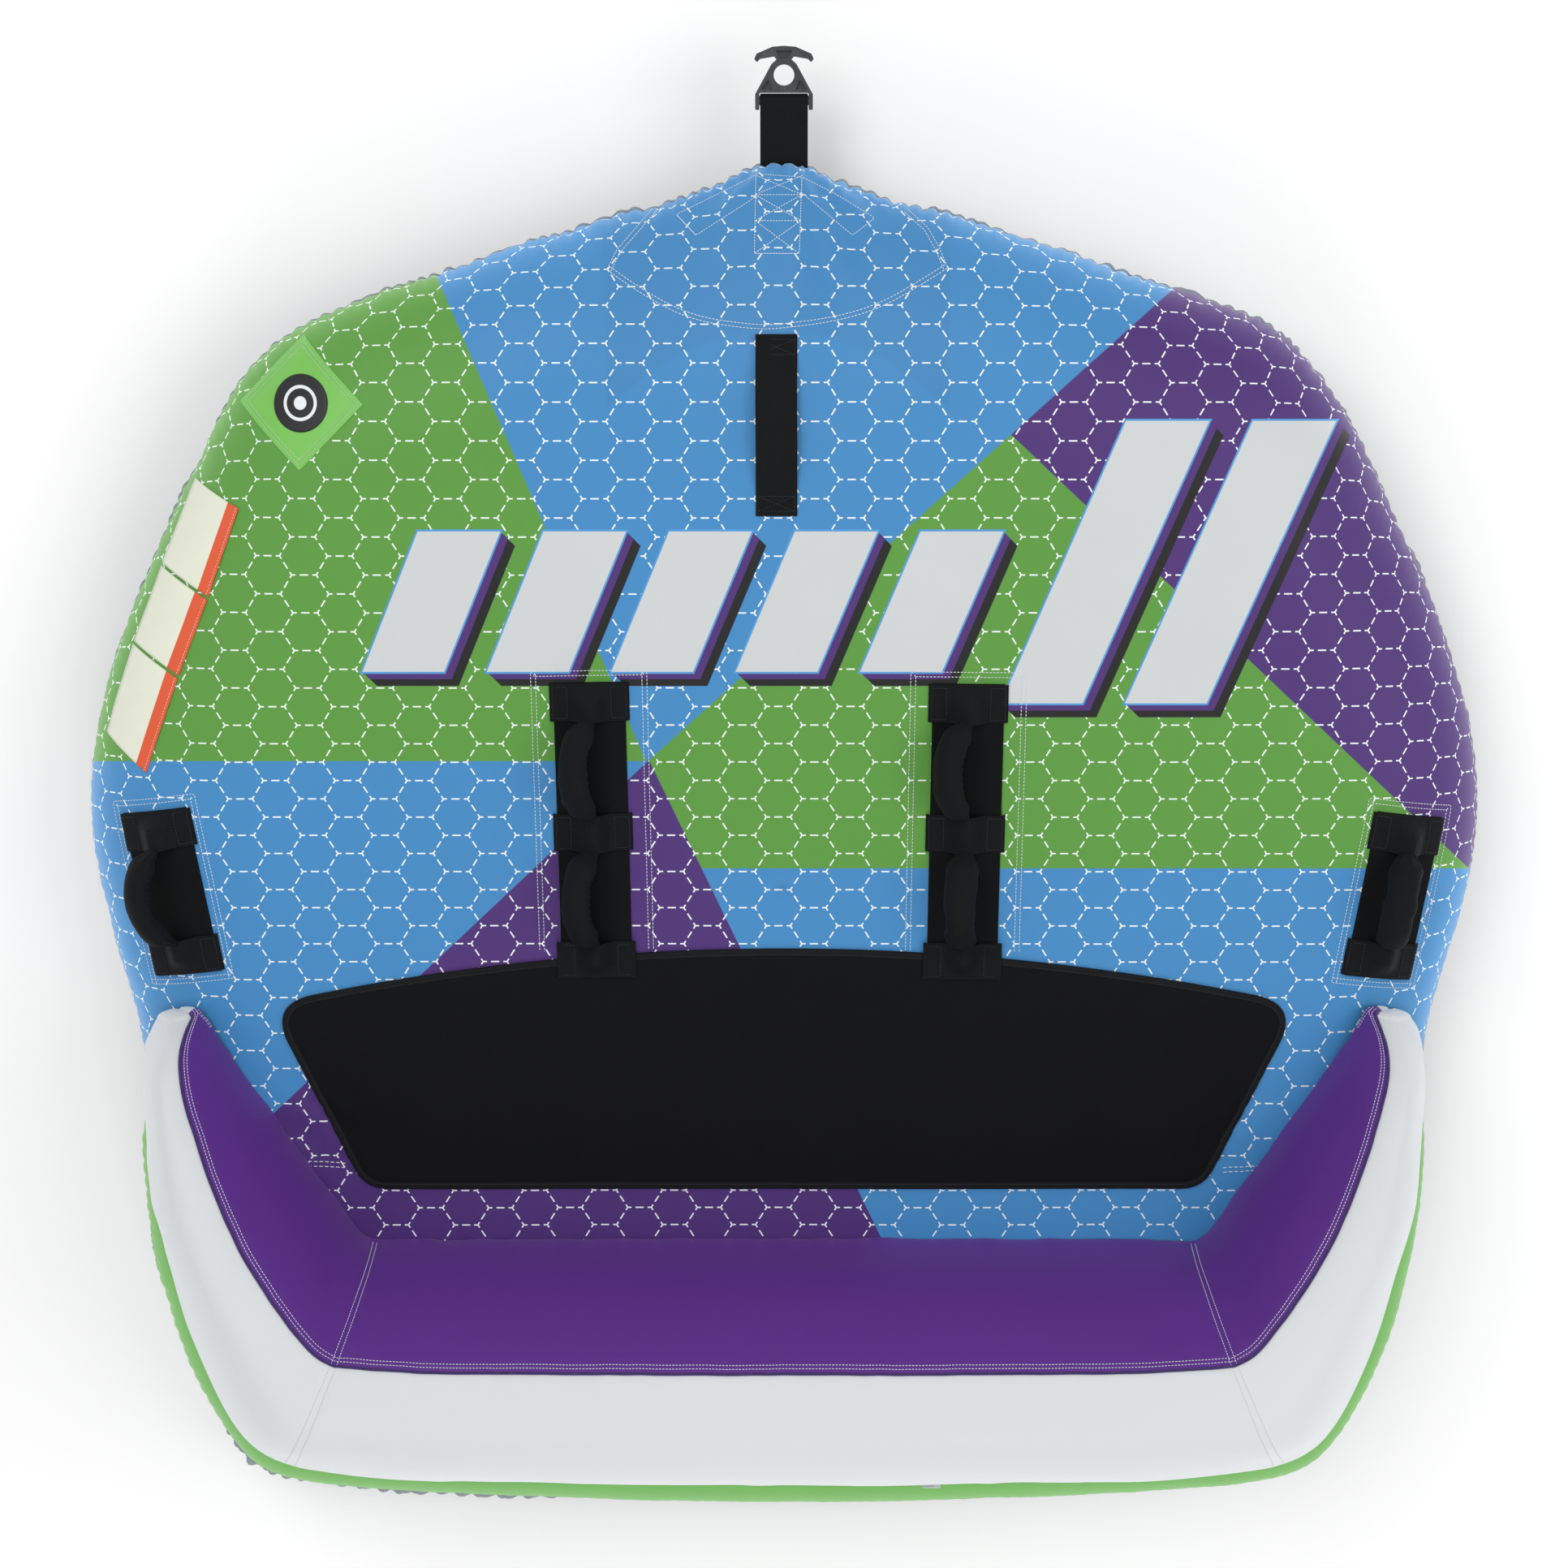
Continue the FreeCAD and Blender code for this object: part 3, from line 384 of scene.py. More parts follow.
def printed_cover():
    """The deck cover's print: colour fields, dashed hexagons, and a plain racing-stripe graphic."""
    g = Graph("printed_cover")
    x, y, _ = g.attribute("panel")
    u, v, vector = g.attribute("weave")

    # colour fields, split by straight lines, most of which meet at one point
    from_x, from_y = x + 166, y - 162
    falls = from_x + from_y * 0.466
    rises = from_y - from_x * 0.909
    blade = from_y - from_x * 0.951
    slope = y - 561 + (x - 272) * 0.9283
    left = x + 171 + (y - 164) * 0.4128
    blue, green, purple = linear(BLUE), linear(GREEN), linear(PURPLE)
    corner = g.mix(slope.above(0), green, purple)
    upper = g.mix(rises.above(0), corner, blue)
    upper = g.mix(left.below(0), upper, green)
    right = g.mix(y.above(25), blue, corner)
    lower = g.mix(falls.above(0), purple, right)
    lower = g.mix(blade.above(0), lower, blue)
    colour = g.mix(y.above(160.6), lower, upper)

    # dashed hexagons: two interleaved lattices, each point measured against the nearer cell
    wide, tall = 88.5, 46.3  # the lattice's pitch across and along
    start_u, start_v = -7, 692
    nx, ny = 0.8517, 0.5243  # across a slanted side
    corner_x, side_x, side_y = 29.25, 22.1, 11.6  # a cell's corner, and the middle of a slanted side

    def cell(shift_x, shift_y):
        a = (u - start_u + shift_x) / wide
        b = (v - start_v + tall / 2 + shift_y) / tall
        return abs(a - (a + 0.5).floor()) * wide, abs(b - (b + 0.5).floor()) * tall

    def gaps(ax, ay):
        return tall / 2 - ay, corner_x * nx - (ax * nx + ay * ny)

    ax, ay = cell(0, 0)
    bx, by = cell(wide / 2, tall / 2)
    a_flat, a_slant = gaps(ax, ay)
    b_flat, b_slant = gaps(bx, by)
    a_gap, b_gap = a_flat.min(a_slant), b_flat.min(b_slant)
    use_b = b_gap.above(a_gap, 0.001)

    def pick(p, q):
        return p + (q - p) * use_b

    px, py, flat, slant = pick(ax, bx), pick(ay, by), pick(a_flat, b_flat), pick(a_slant, b_slant)
    gap = flat.min(slant)
    on_flat = slant.above(flat, 0.001)
    along_slant = abs((px - side_x) * -ny + (py - side_y) * nx) * 1.1
    along = along_slant + (px - along_slant) * on_flat
    dash_end, next_dash, half_thread = 5.1, 10.3, 0.85
    line = gap.below(half_thread, 0.25) * along.below(dash_end).max(along.above(next_dash))

    # racing stripes: a row of short slanted bars across the deck and two tall ones at the right, with cast shadows
    lean, pitch, half_wide, row_y = 0.42, 152, 50, 358
    skewed = x - (y - row_y) * lean

    def bars(first, last, middle, half_tall):
        """A set of bars: offsets from the nearest one's middle, the half height, and where the set is."""
        at = (skewed - first) / pitch
        across = (at - at.floor() - 0.5) * pitch
        return across, y - middle, half_tall, skewed.above(first, 0.01) * skewed.below(last, 0.01)

    sets = [bars(-505, 255, row_y, 86), bars(292, 596, 405, 172)]

    def on_bars(reach):
        short, tall_ones = (reach(across, up, half_tall) * on for across, up, half_tall, on in sets)
        return short.max(tall_ones)

    def grown(grow):
        """The bars with a margin round them."""
        return on_bars(lambda l, s, h: (half_wide + grow - abs(l)).min(h + grow - abs(s)).above(0, 0.4))

    def shadow(far):
        """All that the bars sweep when moved down and to the right by up to a distance."""

        def cast(l, s, h):
            low = ((l - half_wide) / (1 + lean)).max(-s - h).max(0.0)
            high = ((l + half_wide) / (1 + lean)).min(h - s).min(far)
            return (high - low).above(0, 0.4)

        return on_bars(cast)

    ink, mid = shadow(17.5), shadow(9.0)
    edge, fill = grown(2.4), grown(0)
    art = ink.max(mid).max(edge)
    colour = g.mix(line * 0.95 * (1 - art), colour, linear("EEF3F1"))
    colour = g.mix(ink, colour, linear(INK))
    colour = g.mix(mid, colour, linear(PURPLE))
    colour = g.mix(edge, colour, linear("4A93CF"))
    colour = g.mix(fill, colour, linear("C6CACB"))

    # painted shade: the cover over the nose patch is drawn a little darker, where the deck dips
    off = abs(x + 8)
    patch = (off * off / 440 - 686 + y).above(0, 3) * off.below(206)
    colour = g.shade(colour, 1 - patch * 0.06)
    # the deck gets a strong painted sheen, lightening its rims where they turn away from the view
    return cloth_finish(g, colour, u, v, vector, rough=0.5, sheen=0.3, mottle=0.06, painted_sheen=2.2)


COVER = printed_cover()
SIDE = nylon("side_cloth", "66AE47", mottle=0.08)
BASE = nylon("base_cloth", "7D8489", pitch=1.1, depth=0.08)
TRIM = nylon("seam_trim", "8C949B", pitch=0.7)
INNER = nylon("inner_cloth", "562183", mottle=0.10, sheen=0.12)
OUTER = nylon("outer_cloth", "CFD2D5", mottle=0.03, sheen=0.05)
NEOPRENE = neoprene("neoprene_black", "0D0E10")
SLEEVE = neoprene("grip_neoprene", "121315")
BINDING = webbing("binding_black", "151618", 3.0)
WEBBING = webbing("webbing_black", "101215")
THREAD = nylon("thread_white", "D9DEE2", pitch=0.5, sheen=0.4)
BLACK_THREAD = nylon("thread_black", "1A1B1E", pitch=0.5)
PIPING = nylon("piping_purple", "33195F", pitch=0.6)


# ---- hull ---------------------------------------------------------------------------------------------------

OUTLINE = [
    (28, 880), (110, 846), (280, 798), (450, 742), (600, 684), (690, 590), (768, 444), (848, 264), (885, 75),
    (862, -92), (832, -240), (840, -380), (828, -540), (788, -690), (738, -790), (655, -842), (450, -864),
    (225, -874), (0, -878),
]


def rim_ring(angle, side, t):
    """The hull's outline part way round its rim, as the frame's covers have it."""
    inset = RIM * (1 - math.cos(angle))
    ring = []
    for i, (x, y) in enumerate(OUTLINE):
        shrink = 1 - inset * (1.75 if i < 2 else 1.0) / math.hypot(x, y)
        ring.append((x * shrink, y * shrink))
    whole = ring + [(-x, y) for x, y in reversed(ring) if x > 1e-6]
    flat = closed_spline(whole, t)
    height = np.full(len(t), MID + side * HALF * math.sin(angle))
    return np.column_stack([flat, height])


def column_parameters():
    """Curve parameters that space the columns evenly round the outline, and their distances along it."""
    fine = np.linspace(0, 2 * len(OUTLINE) - 1, 20000, endpoint=False)
    p = rim_ring(0, 1, fine)
    run = run_along(np.concatenate([p, p[:1]]))
    want = np.arange(COLUMNS) / COLUMNS * run[-1]
    return np.interp(want, run, np.append(fine, 2 * len(OUTLINE) - 1)), want, run[-1]


T, RUN, GIRTH = column_parameters()
ANGLES = np.radians(np.linspace(0, 90, 40))


def hull_half(side):
    """Points of the upper or lower cover: rim rows from the seam in, then flat rows towards the middle."""
    rim = np.stack([rim_ring(a, side, T) for a in ANGLES])
    step = np.linalg.norm(np.diff(rim, axis=0), axis=2)
    far = np.concatenate([np.zeros((1, COLUMNS)), np.cumsum(step, 0)])
    outward = unit(rim[0, :, :2] - rim[-1, :, :2])
    flat_uv = rim[-1, :, :2] + outward * (far[-1] - far)[..., None]
    shares = np.linspace(1, 0, 46)[1:]
    deck = np.stack([np.column_stack([rim[-1, :, :2] * k, rim[-1, :, 2]]) for k in shares])
    centre_off = np.linalg.norm(rim[-1, :, :2], axis=1)
    far = np.concatenate([far, far[-1] + centre_off * (1 - shares[:, None])])
    return np.concatenate([rim, deck]), np.concatenate([flat_uv, deck[..., :2]]), far


def gather(far, seed):
    """Puckers that run in from the sewn edge and die away."""
    s = np.broadcast_to(RUN, far.shape) + far * 0.12
    tight = 0.35 + 0.65 * ease(noise1(np.broadcast_to(RUN, far.shape), 420, GIRTH, 5) * 0.8 + 0.55)
    out = noise1(s, 17, GIRTH, 1) * 2.2 * np.exp(-far / 16)
    out += noise1(s, 38, GIRTH, 2) * 2.8 * np.exp(-far / 42)
    scallop = 1 - np.abs(np.sin(math.pi * s / 19 + noise1(s, 60, GIRTH, 6) * 1.5))
    out -= scallop * (4.2 + 1.6 * noise1(s, 80, GIRTH, 7)) * np.exp(-((far / 40) ** 2))
    out += noise1(s, 95, GIRTH, 3) * 2.6 * np.exp(-far / 90)
    away = 1 - np.exp(-far / 14)
    out += noise1(s, 30, GIRTH, seed) * 1.2 * away * np.exp(-far / 60)
    return out * tight - 2.5 * np.exp(-far / 5)


def shaped_half(side):
    p, uv, far = hull_half(side)
    up = grid_normals(p, closed=True) * side
    up *= np.sign(up[len(ANGLES) // 2, 0] @ (p[len(ANGLES) // 2, 0] * (1, 1, 0)) or 1)
    x, y = p[..., 0], p[..., 1]
    lift = gather(far, 20 + side)
    soft = noise2(x, y, 210, 3) * 1.6 + noise2(x, y, 85, 4) * 0.6
    inner = ease(far / 90)
    lift = lift + soft * inner
    if side > 0:
        # cloth drawn towards the tow strap's stitching at the nose
        d = np.hypot(x, (y - 850) * 0.9)
        fan = np.sin(np.arctan2(x, 905 - y) * 17 + noise2(x, y, 60, 8) * 1.5)
        lift += fan * 1.6 * np.exp(-((d - 70) / 75) ** 2) * ease(far / 30)
        # short folds where the arms and the seat's corners pull at the deck
        for cx in (-600, 600):
            d = np.hypot(x - cx, y + 325)
            lift += np.sin((y - abs(x)) * 0.11 + noise2(x, y, 45, 9)) * 3.4 * np.exp(-(d / 58) ** 2)
    p = p + up * lift[..., None]
    p[0, :, 2] = MID
    return p, uv, up


def projected(p):
    """Where a point appears on the deck's plane, looking from the camera."""
    t = (DECK_Z - CAMERA[2]) / (p[..., 2] - CAMERA[2])
    return CAMERA[:2] + (p[..., :2] - CAMERA[:2]) * t[..., None]


TOP, TOP_UV, TOP_UP = shaped_half(1)
LOW, LOW_UV, LOW_UP = shaped_half(-1)
ROWS = TOP.shape[0]
PANEL = projected(TOP)

HULL_FACES = grid_faces(ROWS, COLUMNS, closed=True)


def hull_pieces():
    """The printed deck cover, the plain side panel behind the arms' tips, and the bottom cover."""
    row, col = HULL_FACES[:, 0] // COLUMNS, HULL_FACES[:, 0] % COLUMNS
    panel_rows = np.searchsorted(RIM * (1 - np.cos(ANGLES)), SIDE_PANEL_WIDE)
    side = (TOP[0, :, 1] < SIDE_PANEL_FROM)[col] & (row < panel_rows)
    for name, keep, mat, slot, node, points, uv, winding in (
        ("deck_cover", ~side, COVER, "deck_nylon", "top_cover", TOP, TOP_UV, -1),
        ("side_cover", side, SIDE, "side_nylon", "rear_side_panel", TOP, TOP_UV, -1),
        ("base_cover", side | True, BASE, "base_nylon", "bottom_cover", LOW, LOW_UV, 1),
    ):
        used, chosen = part_of(HULL_FACES[:, ::winding], keep)
        attributes = [("weave", uv.reshape(-1, 2)[used]), ("panel", PANEL.reshape(-1, 2)[used])]
        ob = make(name, points.reshape(-1, 3)[used], chosen, mat, attributes, thick=1.0)
        place(ob, "hull", slot, node)


hull_pieces()
TREE = BVHTree.FromPolygons(TOP.reshape(-1, 3).tolist(), HULL_FACES.tolist())


def drape(xy, lift=0.0):
    """Points in plan dropped onto the deck cover, then raised along its normal."""
    out, ups = [], []
    for x, y in np.asarray(xy, float):
        hit, normal, _, _ = TREE.ray_cast(Vector((x, y, 600)), Vector((0, 0, -1)))
        if hit is None:
            hit, normal = Vector((x, y, MID)), Vector((0, 0, 1))
        if normal.z < 0:
            normal = -normal
        out.append(hit)
        ups.append(normal)
    out, ups = np.array(out), np.array(ups)
    return out + ups * np.reshape(lift, (-1, 1)), ups


def seam_trim():
    """The bound seam round the perimeter: a thin flattened cord that follows the gathers."""
    edge = TOP[0]
    out = unit(rim_ring(0, 1, T)[:, :2] - rim_ring(ANGLES[12], 1, T)[:, :2])
    rear = ease((-edge[:, 1] - 740) / 60) * ease((-edge[:, 0] - 240) / 110)
    teeth = np.abs(np.sin(RUN * math.pi / 27 + noise1(RUN, 70, GIRTH, 33)))
    flap = rear * (10 + 6 * teeth + noise1(RUN, 23, GIRTH, 34) * 2)
    ring = []
    for k in range(8):
        a = k / 8 * 2 * math.pi
        reach = 1.2 + flap / 2 + (2.6 + flap / 2) * math.cos(a) + noise1(RUN, 21, GIRTH, 31) * 0.9
        rise = edge[:, 2] + 1.9 * math.sin(a) + noise1(RUN, 48, GIRTH, 32) * 1.3
        ring.append(np.column_stack([edge[:, :2] + out * reach[:, None], rise]))
    p = np.stack(ring + ring[:1])
    uv = np.stack(np.meshgrid(np.arange(9) * 2.0, RUN, indexing="ij"), -1)
    faces = grid_faces(9, COLUMNS, closed=True)
    add("seam_binding", p, faces, TRIM, uv, "binding", "perimeter_seam_tape")


seam_trim()


# ---- backrest -----------------------------------------------------------------------------------------------

STATIONS = [
    ((730, -158), (738, -160, 270), (794, -176, 222)),
    ((712, -190), (741, -196, 336), (819, -232, 188)),
    ((676, -248), (716, -272, 388), (823, -325, 186)),
    ((625, -325), (676, -360, 430), (820, -428, 188)),
    ((575, -400), (620, -450, 463), (790, -545, 203)),
    ((545, -446), (580, -501, 479), (753, -676, 201)),
    ((534, -457), (561, -520, 484), (708, -757, 205)),
    ((522, -463), (540, -531, 486), (649, -789, 216)),
    ((440, -462), (447, -537, 488), (519, -805, 222)),
    ((330, -461), (330, -538, 489), (385, -811, 221)),
    ((170, -460), (170, -539, 490), (193, -815, 219)),
    ((0, -460), (0, -539, 490), (0, -817, 219)),
]
CORNER = 7
WALL_ROWS, BACK_ROWS = 26, 54


def along_backrest():
    """Base, top seam and outer base of the backrest, finely spaced from the left arm's tip to the right one's."""
    right = np.array([[(*a, 250), b, c] for a, b, c in STATIONS], float)
    whole = np.concatenate([right[:-1] * (-1, 1, 1), right[::-1]])
    breaks = [0, CORNER, len(whole) - 1 - CORNER, len(whole) - 1]
    parts, seams = [], []
    for k, count in zip(range(3), (96, 190, 96)):
        part = whole[breaks[k] : breaks[k + 1] + 1]
        run = run_along(part[:, 1])
        t = np.linspace(0, run[-1], count)
        piece = open_spline(part, run, t)
        parts.append(piece if k == 0 else piece[1:])
        seams.append(len(np.concatenate(parts)) - 1)
    return np.concatenate(parts), seams[:2]


def backrest_sheet():
    """Grid of points over the inner wall, the top seam and the outer bulge, rows by columns."""
    line, seams = along_backrest()
    base, seam, outer = line[:, 0], line[:, 1], line[:, 2]
    rise = seam[:, 2] - outer[:, 2]
    lift = 12 * np.minimum(1, rise / 200)

    def over(share, z):
        return np.column_stack([seam[:, :2] + (outer[:, :2] - seam[:, :2]) * share, z])

    v = np.linspace(0, 1, WALL_ROWS)
    wall = base + (seam - base) * v[:, None, None]
    lean = seam - base
    out = unit((outer - seam) * (1, 1, 0))
    face = unit(np.array([0, 0, 1.0]) * np.sum(out * lean, 1, keepdims=True) - out * lean[:, 2:3])
    height = np.linalg.norm(lean, axis=1)
    wall = wall + face * (height * 0.085)[:, None] * (np.sin(math.pi * v) ** 0.8)[:, None, None]
    knots = np.array([0, 0.24, 0.55, 0.78, 1.0])
    points = [seam, over(0.28, seam[:, 2] + lift), over(0.60, outer[:, 2] + rise * 0.78),
              over(0.81, outer[:, 2] + rise * 0.40), outer]
    back = open_spline(np.stack(points), knots, np.linspace(0, 1, BACK_ROWS))
    return np.concatenate([wall, back[1:]]), seams


def arm_tip(p):
    """Closes one end of the sheet with a rounded cap that comes down onto the deck."""
    end = p[:, 0]
    centre = (end[0] + end[-1]) / 2
    centre[2] = 236
    forward = np.array([0.2 * np.sign(centre[0]), 1.0, 0]) * 9
    caps = []
    for a in np.radians([86, 72, 58, 44, 30, 15]):
        caps.append(centre + (end - centre) * math.cos(a) ** 0.8 + forward * math.sin(a))
    return np.stack(caps, 1)


def backrest():
    p, seams = backrest_sheet()
    left, right = arm_tip(p), arm_tip(p[:, ::-1])[:, ::-1]
    shift = left.shape[1]
    p = np.concatenate([left, p, right], 1)
    seams = [s + shift for s in seams]
    rows, cols = p.shape[:2]
    run_u = run_along(p[WALL_ROWS - 1])
    step = np.linalg.norm(np.diff(p, axis=0), axis=2)
    run_v = np.concatenate([np.zeros((1, cols)), np.cumsum(step, 0)])
    up = grid_normals(p)
    if up[WALL_ROWS + 20, cols // 2] @ np.array([0, -1, 0.5]) < 0:
        up = -up
    u = np.broadcast_to(run_u, (rows, cols))
    total = run_u[-1] * 1.001
    from_top = np.abs(run_v - run_v[WALL_ROWS - 1])
    from_base = run_v
    from_foot = run_v[-1] - run_v
    from_corner = np.min([np.abs(u - run_u[s]) for s in seams], 0)
    edge = np.minimum(np.minimum(from_top, from_base), from_foot)
    lift = noise1(u, 19, total, 41) * 0.9 * np.exp(-from_top / 14)
    lift += noise1(u + run_v * 0.2, 52, total, 42) * 1.6 * np.exp(-from_top / 45)
    lift += noise1(u, 26, total, 43) * 1.5 * np.exp(-from_base / 22)
    lift += noise1(u, 33, total, 44) * 1.8 * np.exp(-from_foot / 28)
    lift += noise1(run_v, 24, 900, 45) * 1.6 * np.exp(-from_corner / 26)
    lift += noise2(u, run_v, 150, 46) * 1.8 * ease(edge / 60)
    lift -= 2.6 * np.exp(-from_top / 6) + 2.4 * np.exp(-from_corner / 7) * ease(edge / 8)
    outside = np.arange(rows)[:, None] > WALL_ROWS
    for off, deep, seed in ((38, 0.9, 47), (54, 0.6, 48)):
        line = off + noise1(u, 260, total, seed) * 9
        clear = ease(from_corner / 60) * ease((from_top - 20) / 30)
        lift += outside * deep * np.exp(-(((from_foot - line) / 4) ** 2)) * clear
    p = p + up * lift[..., None]
    return p, seams, run_u, run_v, up


BACK, CORNERS, BACK_U, BACK_V, BACK_UP = backrest()


CLOTH = {
    "quality": 4, "mass": 0.2, "tension_stiffness": 18, "compression_stiffness": 18, "shear_stiffness": 8,
    "bending_stiffness": 0.6, "air_damping": 6, "use_pressure": True, "shrink_min": -0.005,
    "vertex_group_mass": "sewn",
}


def swell(ob, pins, pressure, cap, frames=20):
    """Inflates the sheet as cloth with its sewn lines held, then keeps the result. Moves are capped, in mm."""
    rest = np.array([v.co for v in ob.data.vertices])
    group = ob.vertex_groups.new(name="sewn")
    for value in np.unique(np.round(pins, 2)):
        group.add(np.nonzero(np.round(pins, 2) == value)[0].tolist(), float(value), "REPLACE")
    cloth = ob.modifiers.new("cloth", "CLOTH")
    for key, value in CLOTH.items():
        setattr(cloth.settings, key, value)
    cloth.settings.uniform_pressure_force = pressure
    cloth.settings.effector_weights.gravity = 0
    cloth.collision_settings.use_collision = False
    cloth.collision_settings.use_self_collision = False
    cloth.point_cache.frame_start, cloth.point_cache.frame_end = 1, frames
    scene = bpy.context.scene
    for f in range(1, frames + 1):
        scene.frame_set(f)
    graph = bpy.context.evaluated_depsgraph_get()
    moved = np.array([v.co for v in ob.evaluated_get(graph).data.vertices])
    ob.modifiers.remove(cloth)
    scene.frame_set(1)
    step = moved - rest
    size = np.linalg.norm(step, axis=1, keepdims=True)
    step *= np.minimum(1, cap * MM / np.maximum(size, 1e-9))
    return (rest + step) / MM


def backrest_pieces():
    rows, cols = BACK.shape[:2]
    faces = grid_faces(rows, cols)
    uv = np.stack([np.broadcast_to(BACK_U, (rows, cols)), BACK_V], -1)
    points = BACK
    whole = make("backrest_cloth", BACK, faces, INNER)
    top = np.abs(BACK_V - BACK_V[WALL_ROWS - 1])
    hold = np.minimum(np.minimum(top, BACK_V), (BACK_V[-1] - BACK_V) / 5)
    pins = np.clip(1 - hold / 9, 0, 1)
    pins[:, :6] = pins[:, -6:] = 1
    points = swell(whole, pins.ravel(), 2.0, 9).reshape(rows, cols, 3)
    step = points - BACK
    for _ in range(6):
        step[1:-1, 1:-1] = (step[:-2, 1:-1] + step[2:, 1:-1] + step[1:-1, :-2] + step[1:-1, 2:]) / 4
    inward = np.minimum(np.sum(step * BACK_UP, -1, keepdims=True), 0)
    foot = ease((BACK_V[-1] - BACK_V - 50) / 130)[..., None]
    points = BACK + (step * 0.8 - BACK_UP * inward * 0.6) * foot
    bpy.data.objects.remove(whole)
    a, b, c, _ = (points.reshape(-1, 3)[k] for k in faces[(WALL_ROWS + 20) * (cols - 1) + cols // 2])
    winding = -1 if np.cross(b - a, c - b) @ BACK_UP[WALL_ROWS + 20, cols // 2] < 0 else 1
    row, col = faces[:, 0] // cols, faces[:, 0] % cols
    from_tip = np.minimum(BACK_U, BACK_U[-1] - BACK_U)[col]
    front = (row < WALL_ROWS - 1) & (from_tip > 26)
    for name, keep, mat, slot, nodes in (
        ("backrest_front_cover", front, INNER, "inner_nylon", "inner"),
        ("backrest_back_cover", ~front, OUTER, "outer_nylon", "outer"),
    ):
        used, chosen = part_of(faces[:, ::winding], keep)
        sides = [f"backrest_{nodes}_{side}" for side in ("rear", "left", "right")]
        p, weave = points.reshape(-1, 3)[used], uv.reshape(-1, 2)[used]
        add(name, p, chosen, mat, weave, slot, *sides, thick=0.9, level=1)
    return points


BACK = backrest_pieces()

# ---- fittings on the deck -----------------------------------------------------------------------------------


def resample(points, step):
    """The same polyline with points a fixed step apart."""
    p = np.asarray(points, float)
    run = run_along(p)
    n = max(2, int(round(run[-1] / step)) + 1)
    t = np.linspace(0, run[-1], n)
    return np.column_stack([np.interp(t, run, p[:, k]) for k in range(p.shape[1])])


def seen_on_deck(xy):
    """Drops points, given where they seem to lie on the deck's plane, onto the curved cover."""
    out, ups = [], []
    eye = Vector(CAMERA)
    for x, y in xy:
        hit, normal, _, _ = TREE.ray_cast(eye, (Vector((x, y, DECK_Z)) - eye).normalized())
        if hit is not None:
            out.append(hit)
            ups.append(normal if normal.z > 0 else -normal)
    return np.array(out), np.array(ups)


def drape_grid(xy, height):
    """A grid of plan positions laid on the deck, each point raised along the cover's normal."""
    shape = xy.shape[:2]
    p, ups = drape(xy.reshape(-1, 2))
    return (p + ups * np.asarray(height, float).reshape(-1, 1)).reshape(*shape, 3)


def spread(low, high, soft, step):
    """Positions across a pad, close together at its rounded edges, and how far each has risen."""
    n = max(3, int((high - low) / step))
    inner = np.linspace(low + soft * 2, high - soft * 2, n)
    edge = np.array([0, 0, 0.25, 0.7, 1.3]) * soft
    rise = np.array([0, 0.45, 0.8, 0.95, 1.0])
    return np.concatenate([low + edge, inner, (high - edge)[::-1]]), np.concatenate([rise, np.ones(n), rise[::-1]])


def padded(u_range, v_range, thick, soft, step=4.0):
    """A grid of (u, v) over a pad and its height with rounded edges."""
    u, rise_u = spread(*u_range, soft, step)
    v, rise_v = spread(*v_range, soft, step)
    grid = np.stack(np.meshgrid(u, v, indexing="ij"), -1)
    return grid, thick * np.minimum(rise_u[:, None], rise_v[None, :])


THREAD_SETS = {}


def sew(points, ups, colour="white", stitch=4.4, width=1.0, gap=0.28, lift=0.35):
    """Lays one row of stitches along a line of surface points."""
    if len(points) < 2:
        return
    both = resample(np.concatenate([points, ups], 1), stitch)
    p, n = both[:, :3], both[:, 3:]
    middle = (p[1:] + p[:-1]) / 2
    along = p[1:] - p[:-1]
    length = np.linalg.norm(along, axis=1, keepdims=True)
    keep = (length[:, 0] > 0.3 * stitch) & (length[:, 0] < 3 * stitch)
    along = (along / np.maximum(length, 1e-6))[keep]
    middle, length, up = middle[keep], length[keep], unit((n[1:] + n[:-1])[keep])
    side = np.cross(along, up)
    rings = []
    for t, r in ((-0.5, 0.35), (-0.3, 1.0), (0.3, 1.0), (0.5, 0.35)):
        for a in np.radians([0, 72, 144, 216, 288]):
            off = side * (math.cos(a) * width / 2 * r) + up * (math.sin(a) * width * 0.42 * r)
            drop = lift if abs(t) < 0.4 else lift - 0.35
            rings.append(middle + along * (t * (1 - gap) * length) + off + up * drop)
    THREAD_SETS.setdefault(colour, []).append(np.stack(rings, 1))


def thread_pieces():
    """All stitches of one colour as one mesh: each is a tapered five-sided bead of four rings."""
    looks = {
        "white": (THREAD, "label_fabric"),
        "black": (BLACK_THREAD, "webbing"),
        "pale": (PALE_THREAD, "outer_nylon"),
    }
    bead = grid_faces(4, 5, closed=True)
    for colour, sets in THREAD_SETS.items():
        p = np.concatenate(sets)
        faces = (bead[None] + (np.arange(len(p)) * 20)[:, None, None]).reshape(-1, 4).tolist()
        for i in range(len(p)):
            faces.append([i * 20 + k for k in range(5)])
            faces.append([i * 20 + 15 + k for k in range(5)][::-1])
        mat, slot = looks[colour]
        flat = p.reshape(-1, 3)
        add(f"stitching_{colour}", flat, faces, mat, flat[:, :2], slot)


def sew_deck(xy, rows=(0.0,), seen=False, step=2.0, **kw):
    """Rows of stitches on the deck, each a distance to the left of the line."""
    line = resample(xy, step)
    way = np.gradient(line, axis=0)
    left = unit(np.column_stack([-way[:, 1], way[:, 0]]))
    for row in rows:
        p, ups = (seen_on_deck if seen else drape)(line + left * row)
        if len(p) > 2:
            sew(p, ups, **kw)


